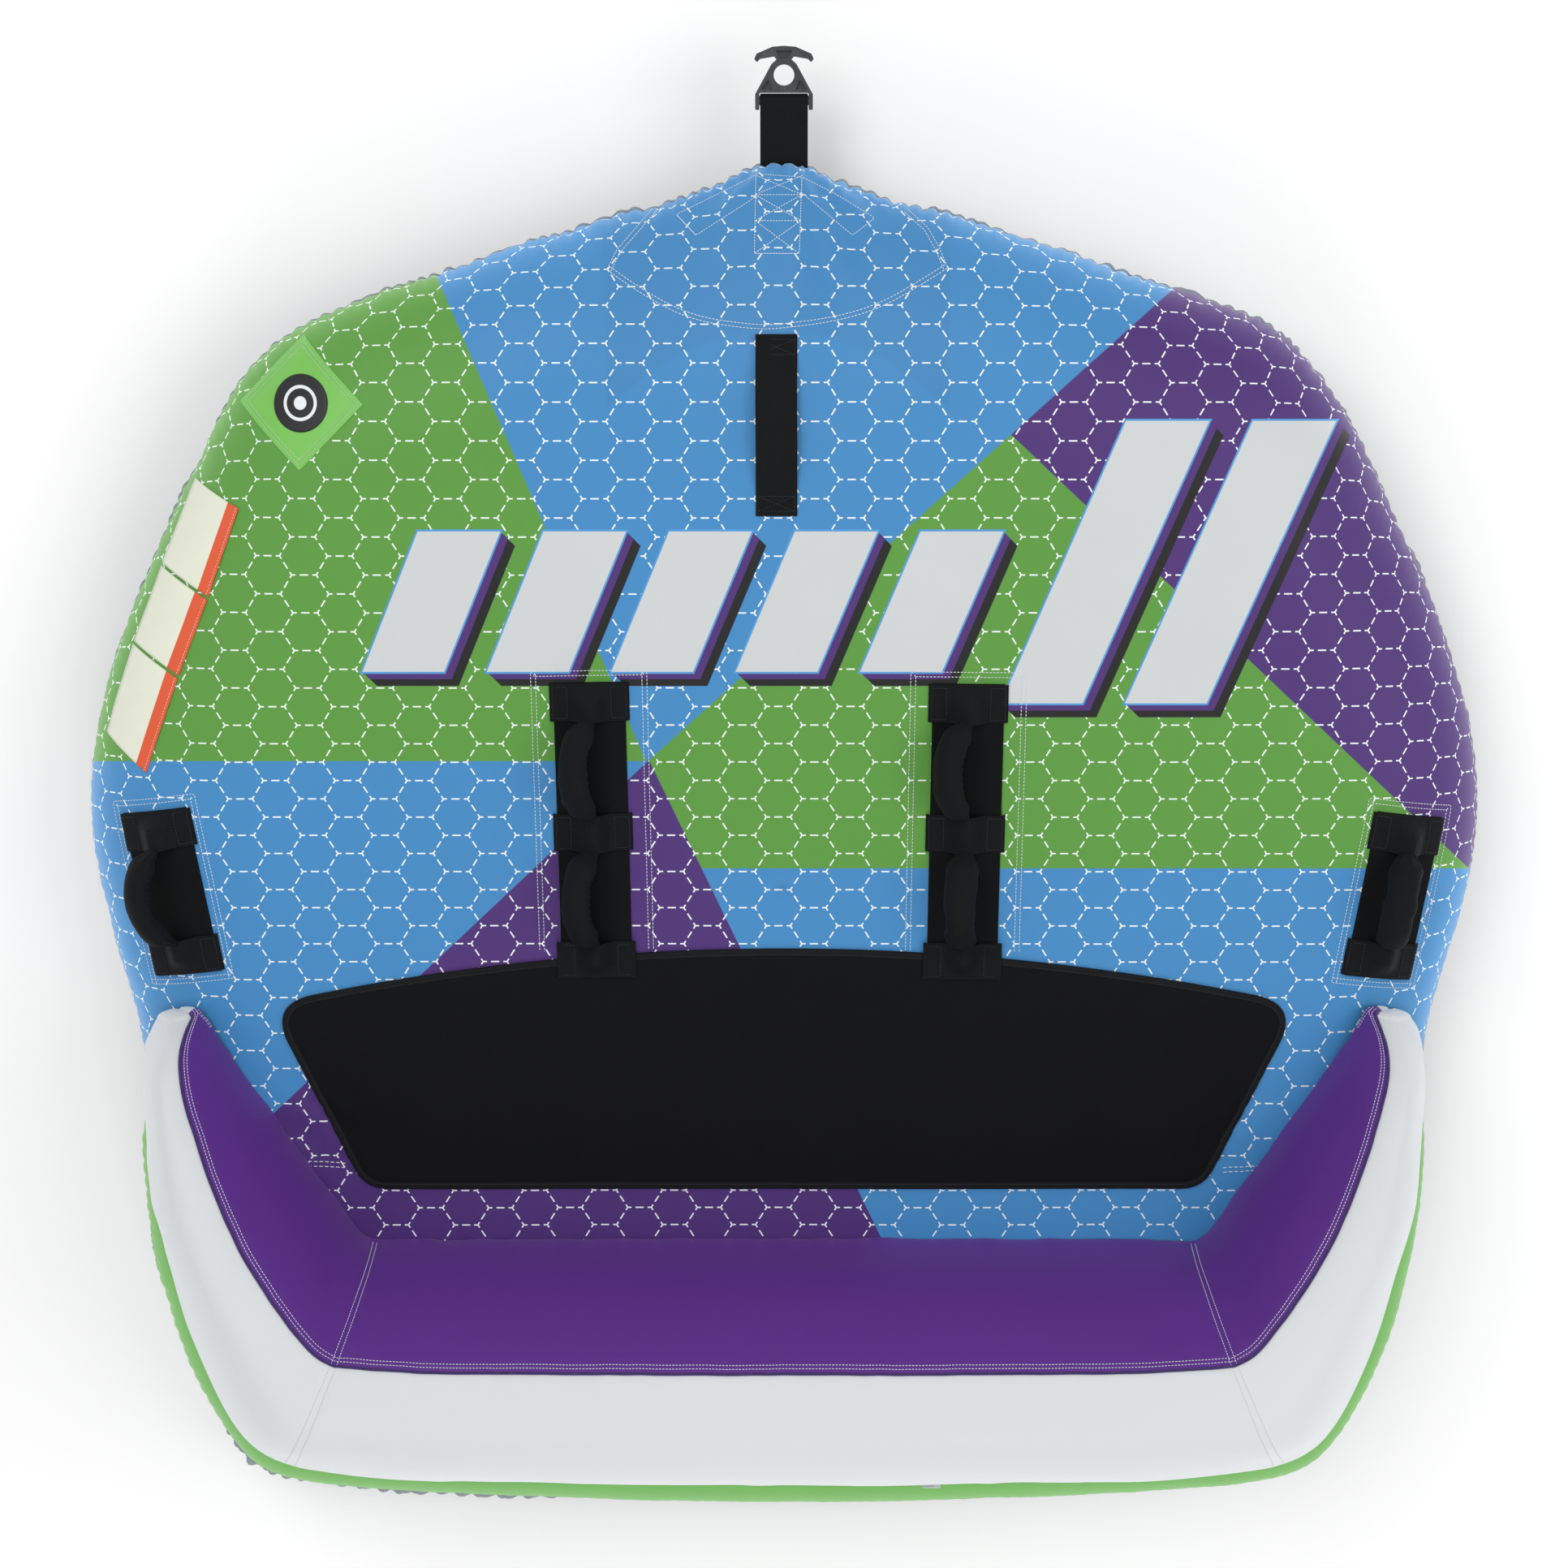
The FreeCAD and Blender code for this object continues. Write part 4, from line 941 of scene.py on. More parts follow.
def ribbon(points, ups, width, thick, corner=0.5):
    """A flat strap along a path, with rounded edges, as grid points, faces and weave coordinates."""
    p, n = np.asarray(points, float), np.asarray(ups, float)
    way = unit(np.gradient(p, axis=0))
    side = unit(np.cross(way, n))
    n = np.cross(side, way)
    run = run_along(p)
    w, h = width / 2, thick / 2
    across = np.linspace(-w + corner * 3, w - corner * 3, 13)
    section = [(-w, 0), (-w + 0.15 * corner, h * 0.6), (-w + corner, h)] + [(x, h) for x in across]
    section += [(w - corner, h), (w - 0.15 * corner, h * 0.6), (w, 0)]
    section += [(x, -y) for x, y in section[-2:0:-1]]
    section = np.array(section)
    grid = p[:, None] + side[:, None] * section[None, :, :1] + n[:, None] * section[None, :, 1:]
    uv = np.stack(np.broadcast_arrays(section[None, :, 0], run[:, None]), -1)
    faces = grid_faces(len(p), len(section), closed=True).tolist()
    faces.append(list(range(len(section)))[::-1])
    faces.append([(len(p) - 1) * len(section) + k for k in range(len(section))])
    return grid, faces, uv


def rounded(corner, before, after, radius):
    """A smooth bend that replaces a corner between two straight runs."""
    c, a, b = (np.array(q, float) for q in (corner, before, after))
    a, b = (a - c) / np.linalg.norm(a - c), (b - c) / np.linalg.norm(b - c)
    reach = radius / math.tan(math.acos(np.clip(a @ b, -1, 1)) / 2) * 1.15
    t = np.linspace(0, 1, 24)[:, None]
    return (1 - t) ** 2 * (c + a * reach) + 2 * t * (1 - t) * c + t**2 * (c + b * reach), reach


def seat_outline():
    """The seat pad's outline: a shallow arch in front, straight sides, and rounded corners."""
    front_y, arch_rise, wide, rear_wide, rear_y, corner = -78, 72, 646, 532, -393, 40
    radius = (wide**2 + arch_rise**2) / (2 * arch_rise)

    def arch(x):
        return np.column_stack([x, front_y - radius + np.sqrt(radius**2 - x**2)])

    shoulder = (wide, front_y - arch_rise)
    near, reach = rounded(shoulder, arch(np.array([600.0]))[0], (rear_wide, rear_y), corner)
    far, _ = rounded((rear_wide, rear_y), shoulder, (-rear_wide, rear_y), corner)
    right = np.concatenate([near, far])
    front = arch(np.linspace(-wide + reach, wide - reach, 240))
    whole = np.concatenate([front, right, (right * (-1, 1))[::-1], front[:1]])
    return resample(whole, 2.5)[:-1]


def seat_pieces():
    edge = seat_outline()
    way = np.roll(edge, -1, 0) - np.roll(edge, 1, 0)
    inward = unit(np.column_stack([way[:, 1], -way[:, 0]]))
    if np.sum(inward * (np.array([0, -250]) - edge)) < 0:
        inward = -inward
    n = len(edge)
    run = np.arange(n) * 2.5
    crimp = noise1(run, 9, n * 2.5, 51) * 0.22 + noise1(run, 34, n * 2.5, 52) * 0.25
    profile = [(0, 0), (-0.4, 1.6), (-0.1, 3.2), (0.8, 4.3), (2.2, 4.8)]
    profile += [(4.5, 4.9), (6.8, 4.75), (8.2, 4.4), (8.9, 3.8), (9.1, 3.2)]
    rows = []
    for d, h in profile:
        rows.append(drape_grid((edge + inward * d)[None], (h + crimp * (h > 2))[None])[0])
    p = np.stack(rows)
    uv = np.stack(np.meshgrid([q[0] for q in profile], run, indexing="ij"), -1)
    faces = grid_faces(len(rows), n, closed=True)
    add("seat_binding", p, faces, BINDING, uv, "binding", "seat_pad_binding")
    start = edge + inward * 8.6
    spine = np.column_stack([np.clip(start[:, 0] * 0.9, -470, 470), np.full(n, -250.0)])
    shares = np.concatenate([[0, 0.008, 0.02, 0.045], np.linspace(0.08, 1, 30)])
    rows, uvs = [], []
    for share in shares:
        q = start + (spine - start) * share
        h = 3.6 + 0.5 * ease(share / 0.05) + noise2(q[:, 0], q[:, 1], 70, 53) * 0.35 * ease(share / 0.2)
        rows.append(drape_grid(q[None], h[None])[0])
        uvs.append(q)
    p = np.stack(rows)
    faces = grid_faces(len(shares), n, closed=True)
    add("seat_cushion", p, faces, NEOPRENE, np.stack(uvs), "neoprene", "seat_pad")
    ring = edge + inward * 6.6
    sew(*drape(np.concatenate([ring, ring[:1]]), 4.75), colour="black", stitch=3.6, width=0.7)


seat_pieces()


HANDLES = {  # middle (x, y), turn, sideways slope, lean of each grip at rest
    "left": (-763, -9, 9.5, -15, (-36,)),
    "centre_left": (-236, 72, 0.8, 0, (-30, -32)),
    "centre_right": (224, 70, -0.6, 0, (-42, -12)),
    "right": (759, -14, -9, 15, (-25,)),
}
PITCH, TAB_W, TAB_L, PIN_Z = 163, 98, 47, 14


def handle_plan(spec, uv):
    x, y, turn, roll, _ = spec
    c, s = math.cos(math.radians(turn)), math.sin(math.radians(turn))
    u = uv[..., 0] * math.cos(math.radians(roll))
    return np.stack([x + u * c - uv[..., 1] * s, y + u * s + uv[..., 1] * c], -1)


def turned(p, axis, degrees):
    a = math.radians(degrees)
    c, s = math.cos(a), math.sin(a)
    i, j = {"y": (2, 0), "z": (0, 1)}[axis]
    q = p.copy()
    q[..., i] = p[..., i] * c - p[..., j] * s
    q[..., j] = p[..., i] * s + p[..., j] * c
    return q


def grip_path():
    """Along one grip: position along its axis and height of the arch over it."""
    y = np.linspace(-78, 78, 157)
    z = 38 * np.maximum(0, 1 - (np.abs(y) / 61) ** 2.5) ** 0.9
    for _ in range(14):
        z[1:-1] = (z[:-2] + 2 * z[1:-1] + z[2:]) / 4
    return y, z


def sweep(y, z, wide, tall, around=40, wrinkle=0.0, seed=1):
    """A tube along the arch. Wide and tall are its half sizes at each point."""
    way = unit(np.column_stack([np.gradient(y), np.gradient(z)]))
    a = np.linspace(0, 2 * math.pi, around, endpoint=False)
    run = run_along(np.column_stack([y, z]))
    inner = np.maximum(0, -np.sin(a)) ** 1.2
    folds = np.sin(run * 2 * math.pi / 9.5 + noise1(run, 17, 400, seed) * 2.2)
    middle = ease((52 - np.abs(y)) / 22)
    r = 1 - wrinkle * (0.5 + 0.5 * folds)[:, None] * inner[None] * middle[:, None]
    r += wrinkle * 0.25 * noise1(np.add.outer(run, a * 9), 13, 400, seed + 3)
    gathers = ease((np.abs(y) - 40) / 12)[:, None] * np.sin(a * 9 + seed)[None] * wrinkle * 0.45
    r += gathers
    x = wide[:, None] * r * np.cos(a)[None]
    b = tall[:, None] * r * np.sin(a)[None]
    p = np.stack([x, y[:, None] - b * way[:, 1:2], z[:, None] + b * way[:, 0:1]], -1)
    uv = np.stack([np.broadcast_to(a * 16, x.shape), np.broadcast_to(run[:, None], x.shape)], -1)
    faces = grid_faces(len(y), around, closed=True).tolist()
    faces.append(list(range(around))[::-1])
    faces.append([(len(y) - 1) * around + k for k in range(around)])
    return p, faces, uv


def grip_pieces(label, spec, y0, lean):
    x, y, turn, roll, _ = spec
    base = 242.3 if roll else 250.4
    seed = 60 + len(label) + int(abs(lean))

    def to_deck(p):
        q = turned(p, "y", lean) + (0, y0, PIN_Z)
        return turned(turned(q, "y", roll), "z", turn) + (x, y, base)

    py, pz = grip_path()
    on = np.abs(py) <= 61
    sy, sz = py[on], pz[on]
    end = ease((60 - np.abs(sy)) / 17)
    wide = 10.0 + 9.8 * end + noise1(sy + 90, 22, 400, seed) * 1.5
    tall = 5.0 + 9.5 * end
    close = np.sqrt(np.clip((61.4 - np.abs(sy)) / 2.6, 0.02, 1))
    p, faces, uv = sweep(sy, sz, wide * close, tall * close, 44, 0.19, seed)
    body = f"grip_{label}"
    add(f"sleeve_{label}", to_deck(p), faces, SLEEVE, uv, "neoprene", f"grip_sleeve_{label}", body=body, level=1)
    on = np.abs(py) <= 48
    fy = py[on]
    p, faces, uv = sweep(fy, pz[on], np.full(len(fy), 13.0), np.full(len(fy), 10.5), 16)
    add(f"foam_{label}", to_deck(p), faces, FOAM, uv, "foam", f"grip_foam_{label}", body=body)
    p, faces, uv = sweep(py, pz, np.full(len(py), 4.8), np.full(len(py), 4.4), 18, 0.05)
    add(f"core_{label}", to_deck(p), faces, WEBBING, uv, "webbing", f"grip_webbing_{label}", body=body)


def tab_height(u):
    """A tab lies on the pad and steps down to the deck past the pad's edge."""
    return 5.0 - 4.2 * ease((np.abs(u) - 43.5) / 4)


def handle_pieces():
    for name, spec in HANDLES.items():
        count = len(spec[4])
        half = (count * PITCH + TAB_L + 2) / 2
        low = -156 if count == 2 else -half
        grid, height = padded((-44, 44), (low, half), 3.8, 1.6, 3.0)
        side = 44 - np.abs(grid[..., 0])
        height = height - 0.7 * np.exp(-(((side - 5) / 0.9) ** 2)) * (height > 3)
        height = height + noise2(grid[..., 0] + spec[0], grid[..., 1], 34, 71) * 0.5 * (height > 3)
        p = drape_grid(handle_plan(spec, grid), height + 0.3)
        faces = grid_faces(*grid.shape[:2])
        add(f"pad_{name}", p, faces, NEOPRENE, grid, "neoprene", f"knuckle_pad_{name}")

        tabs = [(i - count / 2) * PITCH for i in range(count + 1)]
        parts = []
        for k, v0 in enumerate(tabs):
            grid, height = padded((-TAB_W / 2, TAB_W / 2), (v0 - TAB_L / 2, v0 + TAB_L / 2), 1.8, 0.5, 2.0)
            u, v = grid[..., 0], grid[..., 1]
            bump = np.cos(np.clip(np.abs(u) / 25, 0, 1) * math.pi / 2) ** 1.7 * 18.0
            if k == 0:
                bump = bump * ease((v - (v0 - 23)) / 24)
            elif k == count:
                bump = bump * ease(((v0 + 23) - v) / 24)
            over = tab_height(u) + noise2(u + spec[0], v + spec[1], 19, 72) * 0.35
            if name.startswith("centre") and k == 0:
                over = 5.3 + 0 * u
            p = drape_grid(handle_plan(spec, grid), over + bump + height)
            parts.append((p, grid_faces(*grid.shape[:2]), np.stack([v, u], -1)))
            # each tab is sewn down by a box on either side of its tunnel
            out, near, l = TAB_W / 2 - 4, 27, TAB_L / 2 - 4
            for side in (-1, 1):
                corners = [(near, -l), (out, -l), (out, l), (near, l), (near, -l)]
                for (u0, w0), (u1, w1) in zip(corners, corners[1:]):
                    line = resample([(side * u0, v0 + w0), (side * u1, v0 + w1)], 3.0)
                    over = tab_height(line[:, 0]) + 1.8
                    sew(*drape(handle_plan(spec, line), over), colour="black", stitch=3.4, width=0.8)
        p, faces, uv = joined(parts)
        add(f"tabs_{name}", p, faces, WEBBING, uv, "webbing", f"handle_tabs_{name}")

        for i, lean in enumerate(spec[4]):
            label = name if count == 1 else name + ("_front", "_back")[i]
            grip_pieces(label, spec, -(i - (count - 1) / 2) * PITCH, lean)

        # the reinforcing panel under each handle is sewn down with two rows
        w, top = (58, half + 15) if count == 1 else (71, half + 14)
        bottom = -half - 12 if count == 1 else -152
        ring = np.array([(-w, bottom), (-w, top), (w, top), (w, bottom)] + ([(-w, bottom)] if count == 1 else []))
        sew_deck(handle_plan(spec, ring), rows=(0, -6))


def strap_on_deck():
    """The webbing strap ahead of the stripes, sewn down at both ends with a slight bow between."""
    y = np.linspace(679, 463, 110)
    h = 1.5 + 12.5 * np.sin(math.pi * np.clip((677 - y - 22) / 168, 0, 1)) ** 1.3
    p, ups = drape(np.column_stack([np.full_like(y, -9), y]), h)
    ups = np.tile((0, 0, 1.0), (len(y), 1)) + noise1(677 - y, 40, 500, 81)[:, None] * np.array([0.03, 0, 0])
    grid, faces, uv = ribbon(p, ups, 50, 2.2)
    add("deck_strap", grid, faces, WEBBING, uv, "webbing", "front_grab_strap")
    for y0, y1 in ((673, 655), (487, 469)):
        # a box crossed from corner to corner
        a, b, c, d = (-31, y0), (13, y0), (13, y1), (-31, y1)
        for ends in ((a, b), (b, c), (c, d), (d, a), (a, c), (b, d)):
            sew(*drape(resample(ends, 3.0), 2.7), colour="black", stitch=3.6, width=0.8)


def label_pieces():
    outer = [(-725, 503), (-768, 396), (-807, 299), (-847, 184)]
    inner = [(-661, 471), (-703, 360), (-743, 263), (-790, 140)]
    for k in range(3):
        a, b, c, d = (np.array(q, float) for q in (outer[k], outer[k + 1], inner[k + 1], inner[k]))
        gap = (b - a) / np.linalg.norm(b - a) * 2.0
        a, b, c, d = a + gap, b - gap, c - gap, d + gap
        s, t = np.meshgrid(np.linspace(0, 1, 30), np.linspace(0, 1, 22), indexing="ij")
        xy = (a + (b - a) * s[..., None]) * (1 - t[..., None]) + (d + (c - d) * s[..., None]) * t[..., None]
        long, wide = np.linalg.norm(b - a), np.linalg.norm(a - d)
        lift = 0.9 + noise2(s * 110 + k * 200, t * 70, 36, 91) * 0.5
        p = drape_grid(xy, lift)
        uv = np.stack([s * long, t * wide], -1)
        nodes = ["care_labels"] if k == 0 else []
        add(f"care_label_{k + 1}", p, grid_faces(30, 22), LABEL, uv, "label_fabric", *nodes, thick=0.5)
        for t0 in (0.04, 0.96):
            line = xy[:, int(round(t0 * 21))]
            sew(*drape(resample(line, 3.0), 1.4), stitch=4, width=0.6)


def emblem():
    """Green diamond patch, sewn round twice, with a plain round badge."""
    centre = np.array([-584.0, 596.0])
    grid, height = padded((-56, 56), (-56, 56), 0.8, 0.8, 3.0)
    c = math.sqrt(0.5)
    axes = np.array([[c, c], [-c, c]])
    xy = centre + grid @ axes
    puff = noise2(grid[..., 0], grid[..., 1], 21, 95) * 0.5
    p = drape_grid(xy, height + 0.5 + puff)
    add("emblem_diamond", p, grid_faces(*grid.shape[:2]), DIAMOND, grid, "side_nylon", "emblem_patch")
    for inset in (4.5, 9.0):
        w = 56 - inset
        ring = np.array([(-w, -w), (w, -w), (w, w), (-w, w), (-w, -w)]) @ axes + centre
        sew(*drape(resample(ring, 2.5), 1.5), colour="pale", stitch=3.8, width=0.7)
    a = np.linspace(0, 2 * math.pi, 96, endpoint=False)
    profile = [(34, 0.6), (34.2, 1.6), (33.6, 2.3), (32.4, 2.6), (30.5, 2.6)]
    profile += [(radius, 2.5) for radius in (28, 20, 12, 5, 0.1)]
    rows, uvs = [], []
    for radius, h in profile:
        xy = centre + (2, 0) + radius * np.column_stack([np.cos(a), np.sin(a)])
        rows.append(drape_grid(xy[None], np.full((1, 96), h))[0])
        uvs.append(radius * np.column_stack([np.cos(a), np.sin(a)]))
    faces = grid_faces(len(rows), 96, closed=True)
    add("emblem_badge", np.stack(rows), faces, BADGE, np.stack(uvs), "patch_rubber")


def deck_stitching():
    """Rows of stitches round the nose patch, over the tow strap's legs, and at the seat's rear corners."""
    lens = [(-210, 755), (-170, 728), (-122, 703), (-75, 691), (-28, 686)]
    lens += [(7, 688), (57, 695), (110, 710), (153, 732), (194, 757)]
    arc = open_spline(np.array(lens, float), np.arange(10.0), np.linspace(0, 9, 120))
    sew_deck(arc, rows=(0, 5), seen=True)
    sew_deck([(-210, 755), (-198, 778), (-172, 807), (-143, 839)], rows=(0, -5), seen=True)
    sew_deck([(194, 757), (184, 780), (170, 804), (145, 826)], rows=(0, 5), seen=True)
    box = [(-33, 866), (21, 862), (18, 774), (-35, 774), (-33, 866)]
    sew_deck(box, seen=True, stitch=3.6)
    levels = [(-33, 22, 864), (-34, 21, 842), (-34, 20, 812), (-35, 18, 774)]
    for (l0, r0, y0), (l1, r1, y1) in zip(levels, levels[1:]):
        sew_deck([(l1, y1), (r1, y1)], seen=True, stitch=3.6)
        sew_deck([(l0, y0), (r1, y1)], seen=True, stitch=3.6)
        sew_deck([(l1, y1), (r0, y0)], seen=True, stitch=3.6)
    sew_deck([(-34, 864), (-127, 819), (-104, 795), (-34, 839)], seen=True, stitch=3.6)
    sew_deck([(-127, 819), (-122, 814), (-104, 795)], seen=True, stitch=3.6)
    sew_deck([(22, 862), (62, 842), (107, 815), (81, 795), (20, 845)], seen=True, stitch=3.6)
    for side in (-1, 1):
        sew_deck([(side * 612, -362), (side * 556, -366)], rows=(0, 6), stitch=7, width=1.2)


def backrest_stitching():
    p = BACK
    ups = grid_normals(p)
    if ups[WALL_ROWS + 20, p.shape[1] // 2] @ np.array([0, -1, 0.5]) < 0:
        ups = -ups
    top = WALL_ROWS - 1

    def at(columns, distance):
        """Points a distance up from the foot of the inner wall, or below its top seam if negative."""
        out, normal = [], []
        for col in columns:
            v = BACK_V[:, col]
            want = distance if distance > 0 else v[top] + distance
            out.append([np.interp(want, v, p[:, col, k]) for k in range(3)])
            normal.append([np.interp(want, v, ups[:, col, k]) for k in range(3)])
        return np.array(out), np.array(normal)

    cols = np.nonzero(np.minimum(BACK_U, BACK_U[-1] - BACK_U) > 27)[0]
    for distance in (-7, -12):
        sew(*at(cols, distance), stitch=4.0, width=0.95)
    for seam in CORNERS:
        for shift in (-3.5, 3.5):
            col = np.interp(BACK_U[seam] + shift, BACK_U, np.arange(p.shape[1]))
            i, f = int(col), col % 1
            line = p[:, i] * (1 - f) + p[:, i + 1] * f
            n = ups[:, i] * (1 - f) + ups[:, i + 1] * f
            sew(line[1 : top + 1], n[1 : top + 1], stitch=4.0, width=0.9)
            sew(line[top:-6], n[top:-6], colour="pale", stitch=4.0, width=0.7)
    # a thin dark cord is sewn into the top seam
    n = ups[top, 4:-4]
    grid, faces, uv = ribbon(p[top, 4:-4] + n * 1.2, n, 3.2, 2.6, 0.6)
    add("backrest_piping", grid, faces, PIPING, uv, "inner_nylon")
    # white stitches along the foot of each arm near its tip
    for from_end in (BACK_U, BACK_U[-1] - BACK_U):
        span = np.nonzero((from_end > 30) & (from_end < 95))[0]
        for distance in (4, 9):
            sew(*at(span, distance), stitch=4.0, width=0.8)


def label_material():
    g = Graph("care_label")
    u, v, vector = g.attribute("weave")
    bar = v.above(56, 0.4)
    border = v.below(2.6, 0.4)
    fine = g.noise(vector, 0.9, 2.0)
    colour = g.mix(bar, g.shade(linear("E2E4D2"), 0.96 + g.noise(vector, 0.03, 3.0) * 0.08), linear("DB552A"))
    colour = g.shade(colour, 1 - border * 0.12)
    weave = plain_weave(u, v, 0.7)
    return g.output(colour, 0.5 + fine * 0.1, weave + fine, 0.03, Sheen_Weight=0.1)


def badge_material():
    """Black moulded disc with a plain raised ring and dot in white."""
    g = Graph("emblem_badge")
    x, y, vector = g.attribute("weave")
    r = (x * x + y * y).op("SQRT")
    ring = r.above(17) * r.below(21)
    dot = r.below(8)
    mark = ring.max(dot)
    fine = g.noise(vector, 1.5, 3.0)
    colour = g.mix(mark, linear("141518"), linear("E4E8EA"))
    return g.output(colour, 0.42 + fine * 0.12, mark * 3 + fine * 0.3, 0.25, Specular_IOR_Level=0.45)


LABEL = label_material()
BADGE = badge_material()
DIAMOND = nylon("emblem_cloth", "74BC52", mottle=0.05, sheen=0.3, rough=0.42)
PALE_THREAD = nylon("thread_pale", "C4C9CC", pitch=0.5)
FOAM = plastic("foam_black", "1A1A1C", 0.85, 40.0, 0.1)
FILM = plastic("bladder_film", "A4A8AC", 0.32, 20.0, 0.15)

handle_pieces()
strap_on_deck()
label_pieces()
emblem()
deck_stitching()
backrest_stitching()


# ---- inside, tow strap, hardware ----------------------------------------------------------------------------


def inside_pieces():
    """Bladders, tension webs and the webbing under the nose: all inside the covers."""
    for name, grid, ups, node in (
        ("hull_bladder_upper", TOP, TOP_UP, "hull_bladder_top"),
        ("hull_bladder_lower", LOW, LOW_UP, "hull_bladder_bottom"),
    ):
        out = np.sign(np.sum(ups[20, 0] * grid[20, 0] * (1, 1, 0)))
        p = (grid - ups * out * 8.0)[::2, ::6]
        p[0, :, 2] = MID
        add(name, p, grid_faces(*p.shape[:2], closed=True), FILM, p[..., :2], "pvc_film", node)
    p = (BACK - BACK_UP * 10.0)[1:-1:2, 8:-8:3]
    add("backrest_chamber", p, grid_faces(*p.shape[:2]), FILM, p[..., :2], "pvc_film", "backrest_bladder")
    sheets = []
    for x, front in ((0, 500), (200, 590), (400, 550), (600, 330)):
        for side in (-1, 1) if x else (1,):
            y, z = np.meshgrid(np.linspace(-640, front, 60), np.linspace(12, 238, 12), indexing="ij")
            wave = side * x + np.sin(y / 40) * 2 * np.sin(math.pi * (z - 12) / 226)
            sheets.append((np.stack([wave, y, z], -1), grid_faces(60, 12), np.stack([y, z], -1)))
    p, faces, uv = joined(sheets)
    add("tension_webs", p, faces, FILM, uv, "pvc_film", "hull_bladder_webs", thick=0.8)
    legs = [[(0, 852), (0, 752)], [(44, 842), (112, 792)], [(-44, 842), (-112, 792)]]
    p, faces, uv = joined(ribbon(*drape(resample(leg, 5.0), -9.0), 40, 1.6) for leg in legs)
    add("tow_legs", p, faces, WEBBING, uv, "webbing", "tow_harness_legs")


def tow_strap():
    """Webbing that leaves the nose seam, folds round the connector's bar and comes back."""
    bar, r, root = 954.0, 7.1, 866.0
    half = 1.35
    top = [(y, 125 + half + (r - half) * ease((y - 925) / 30)) for y in np.linspace(root, 950, 40)]
    turn = [(bar + r * math.sin(a), 125 + r * math.cos(a)) for a in np.linspace(0.06, math.pi - 0.06, 24)]
    low = [(y, 250 - z) for y, z in top[::-1]]
    yz = np.array(top + turn + low)
    p = np.column_stack([np.zeros(len(yz)), yz])
    way = np.gradient(p, axis=0)
    ups = np.column_stack([np.zeros(len(p)), -way[:, 2], way[:, 1]])
    ups[:, 2] += 1e-6
    grid, faces, uv = ribbon(p, ups, 58, 2.4, 0.7)
    ob = make("tow_webbing", grid, faces, STRAP, [("weave", uv)])
    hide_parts("tow_strap")
    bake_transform(ob)


def hardware():
    """The hard pieces keep their modelled shape, with softened edges and moulded plastic finishes, also on the
    zip's slider and pull.
    """
    looks = {
        "tow_connector": (plastic("connector_nylon", "26272A", 0.36, 50.0, 0.35), "connector_plastic", 1.0),
        "backrest_valve": (plastic("valve_pvc_white", "C9CCCE", 0.34, 60.0, 0.1), "valve_plastic", 0.4),
        "hull_valve": (plastic("valve_pvc", "1B1C1F", 0.3, 60.0, 0.2), "valve_plastic", 0.5),
        "zip_coil": (plastic("zip_coil", "17181A", 0.4, 80.0, 0.1), "zip_plastic", 0.3),
        "zip_slider": (plastic("zip_lacquer", "1A1A1D", 0.28, 90.0, 0.5), "zip_metal", 0.4),
        "zip_pull": (plastic("pull_lacquer", "1A1A1D", 0.28, 90.0, 0.5), "zip_metal", 0.4),
    }
    for node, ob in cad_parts.items():
        for key, (mat, slot, bevel) in looks.items():
            if key in node:
                ob.data.materials.clear()
                ob.data.materials.append(mat)
                m = ob.modifiers.new("edges", "BEVEL")
                m.width, m.segments, m.limit_method, m.angle_limit = bevel * MM, 2, "ANGLE", math.radians(35)
                m.harden_normals = False
                break


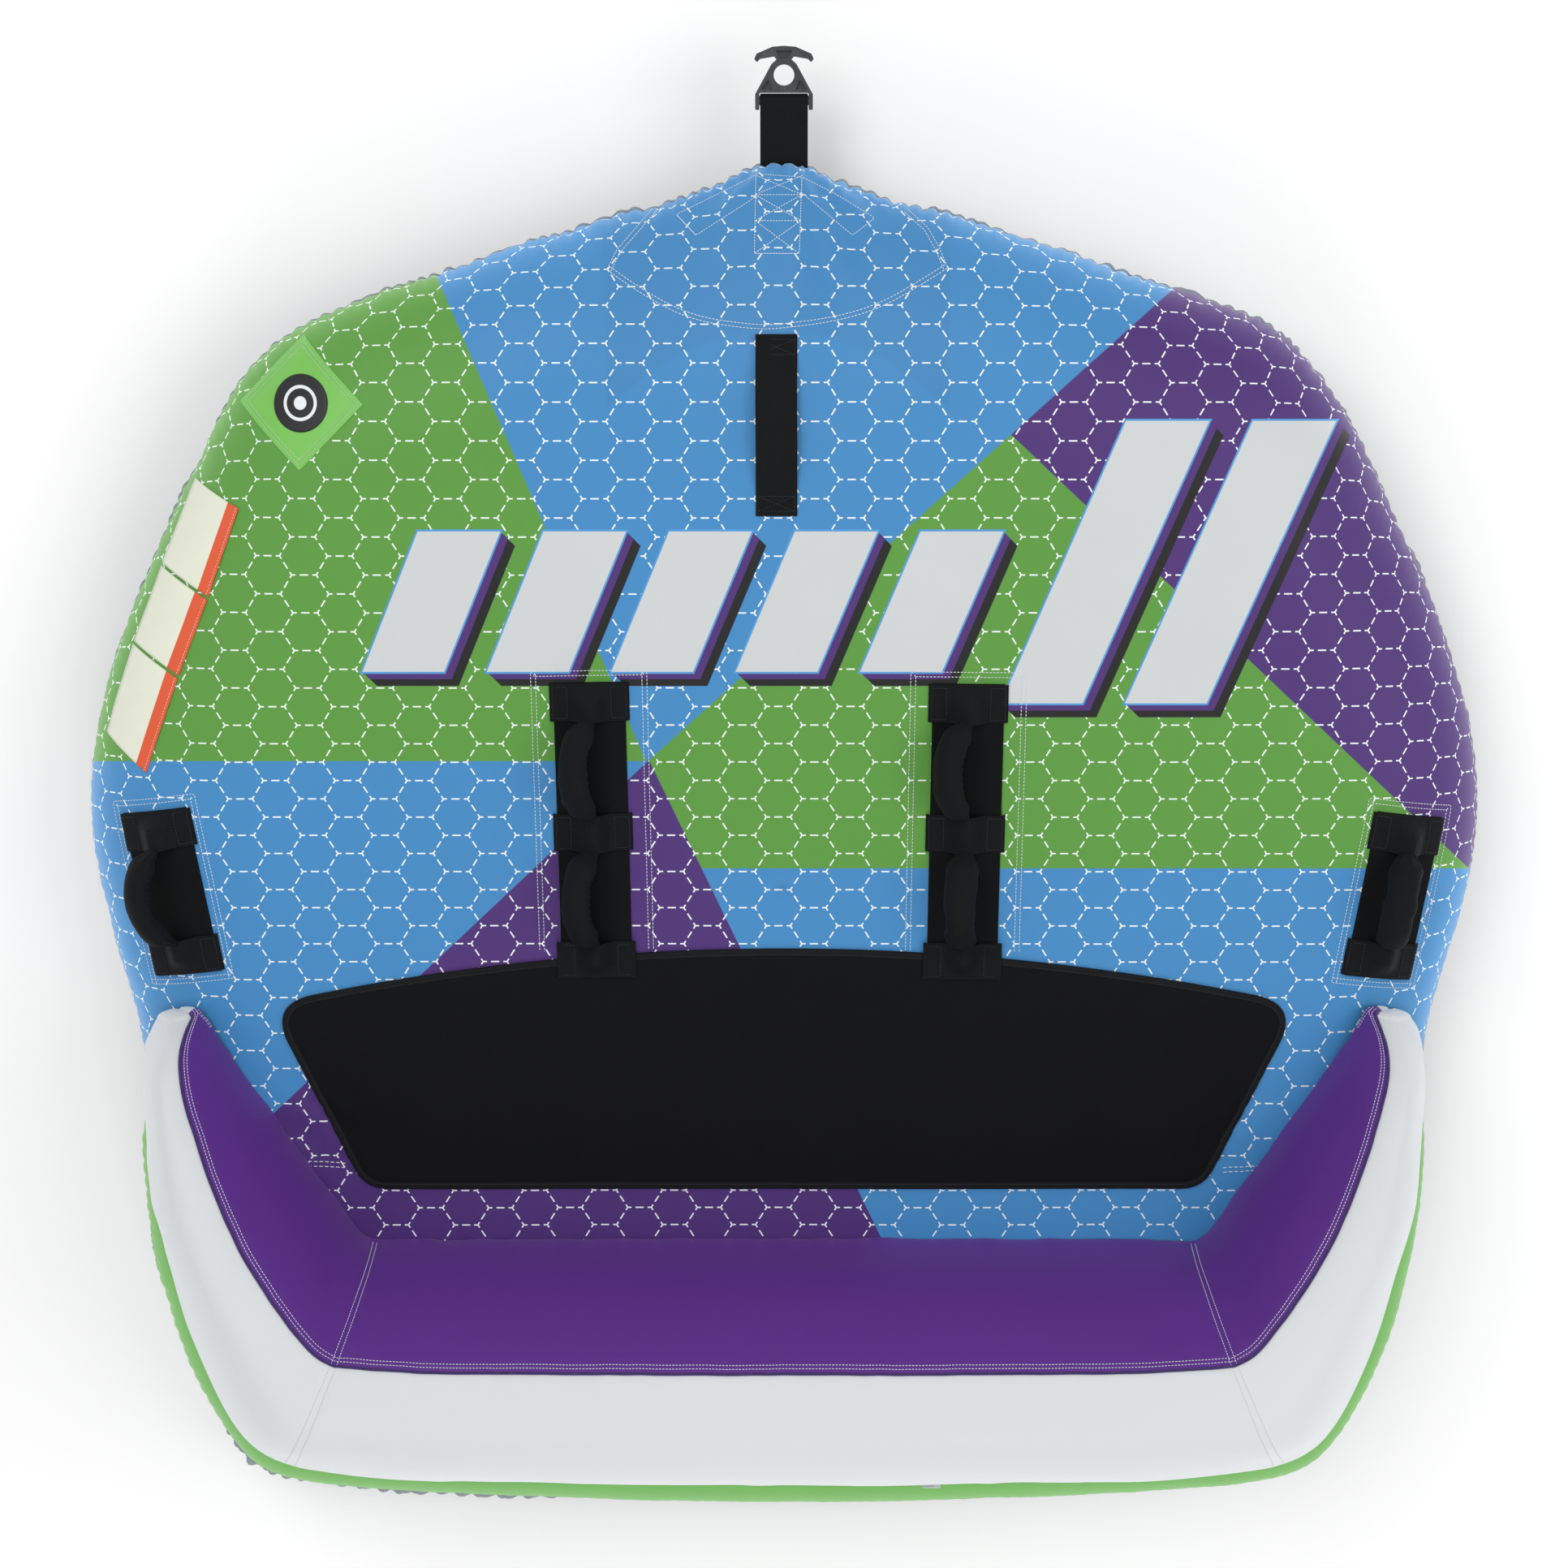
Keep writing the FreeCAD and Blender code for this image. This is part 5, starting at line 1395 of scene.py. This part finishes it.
def zip_tape():
    """Woven tape under the zip's coil: a strip of a large cone that follows the rear edge."""
    radius, centre = 7239.0, 6361.0
    a = np.linspace(-0.0333, 0.0333, 90)
    out_y, out_z = -0.9233, -0.3841  # the hull's outward direction there
    rows, uvs = [], []
    for t in np.linspace(-14, 14, 9):
        y0 = -871.3 + out_y * 1.9 + t * out_z
        z0 = 92.0 + out_z * 1.9 - t * out_y
        rad = centre - y0
        ripple = np.sin(a * 5200) * 0.25 * abs(t) / 14
        rows.append(np.column_stack([np.sin(a) * rad, centre - np.cos(a) * (rad + ripple), np.full(90, z0)]))
        uvs.append(np.column_stack([a * radius, np.full(90, t)]))
    p, uv = np.stack(rows), np.stack(uvs)
    add("zip_band", p, grid_faces(9, 90), BINDING, uv, "zip_plastic", "zip_tape", thick=0.8)


STRAP = webbing("tow_webbing", "111214", 2.4)
inside_pieces()
tow_strap()
hardware()
zip_tape()
thread_pieces()

# ---- stage --------------------------------------------------------------------------------------------------


def stage():
    scene = bpy.context.scene
    n = 8
    xs = np.linspace(-9000, 9000, n)
    grid = np.stack(np.meshgrid(xs, xs, indexing="ij"), -1)
    p = np.concatenate([grid, np.full((n, n, 1), -2.5)], -1)
    g = Graph("studio_floor")
    at = g.position()
    colour = g.shade((0.95, 0.95, 0.95), 0.99 + g.noise(at, 6.0) * 0.02)
    floor = make("floor", p, grid_faces(n, n), g.output(colour, 0.7))

    def area(name, at, size, power, target=(0, 0, 0.2)):
        light = bpy.data.lights.new(name, "AREA")
        light.size, light.energy, light.shape = size, power, "DISK"
        ob = bpy.data.objects.new(name, light)
        ob.location = at
        ob.rotation_euler = (Vector(target) - Vector(at)).to_track_quat("-Z", "Y").to_euler()
        scene.collection.objects.link(ob)

    area("key", (-1.6, 2.6, 4.6), 3.2, 95)
    area("fill", (3.2, 0.4, 4.0), 3.5, 60)
    area("back", (0.0, -4.0, 3.2), 3.0, 50)
    world = bpy.data.worlds.new("studio")
    world.use_nodes = True
    world.node_tree.nodes["Background"].inputs[0].default_value = (1, 1, 1, 1)
    world.node_tree.nodes["Background"].inputs[1].default_value = 0.62
    scene.world = world
    scene.view_settings.view_transform = "Standard"

    camera = bpy.data.cameras.new("camera")
    camera.sensor_width = 36
    camera.lens = camera.sensor_width * VIEW_DISTANCE / FRAME_WIDTH
    ob = bpy.data.objects.new("camera", camera)
    ob.location = CAMERA * MM
    ob.rotation_euler = (-VIEW_TILT, 0, 0)
    scene.collection.objects.link(ob)
    scene.camera = ob


stage()
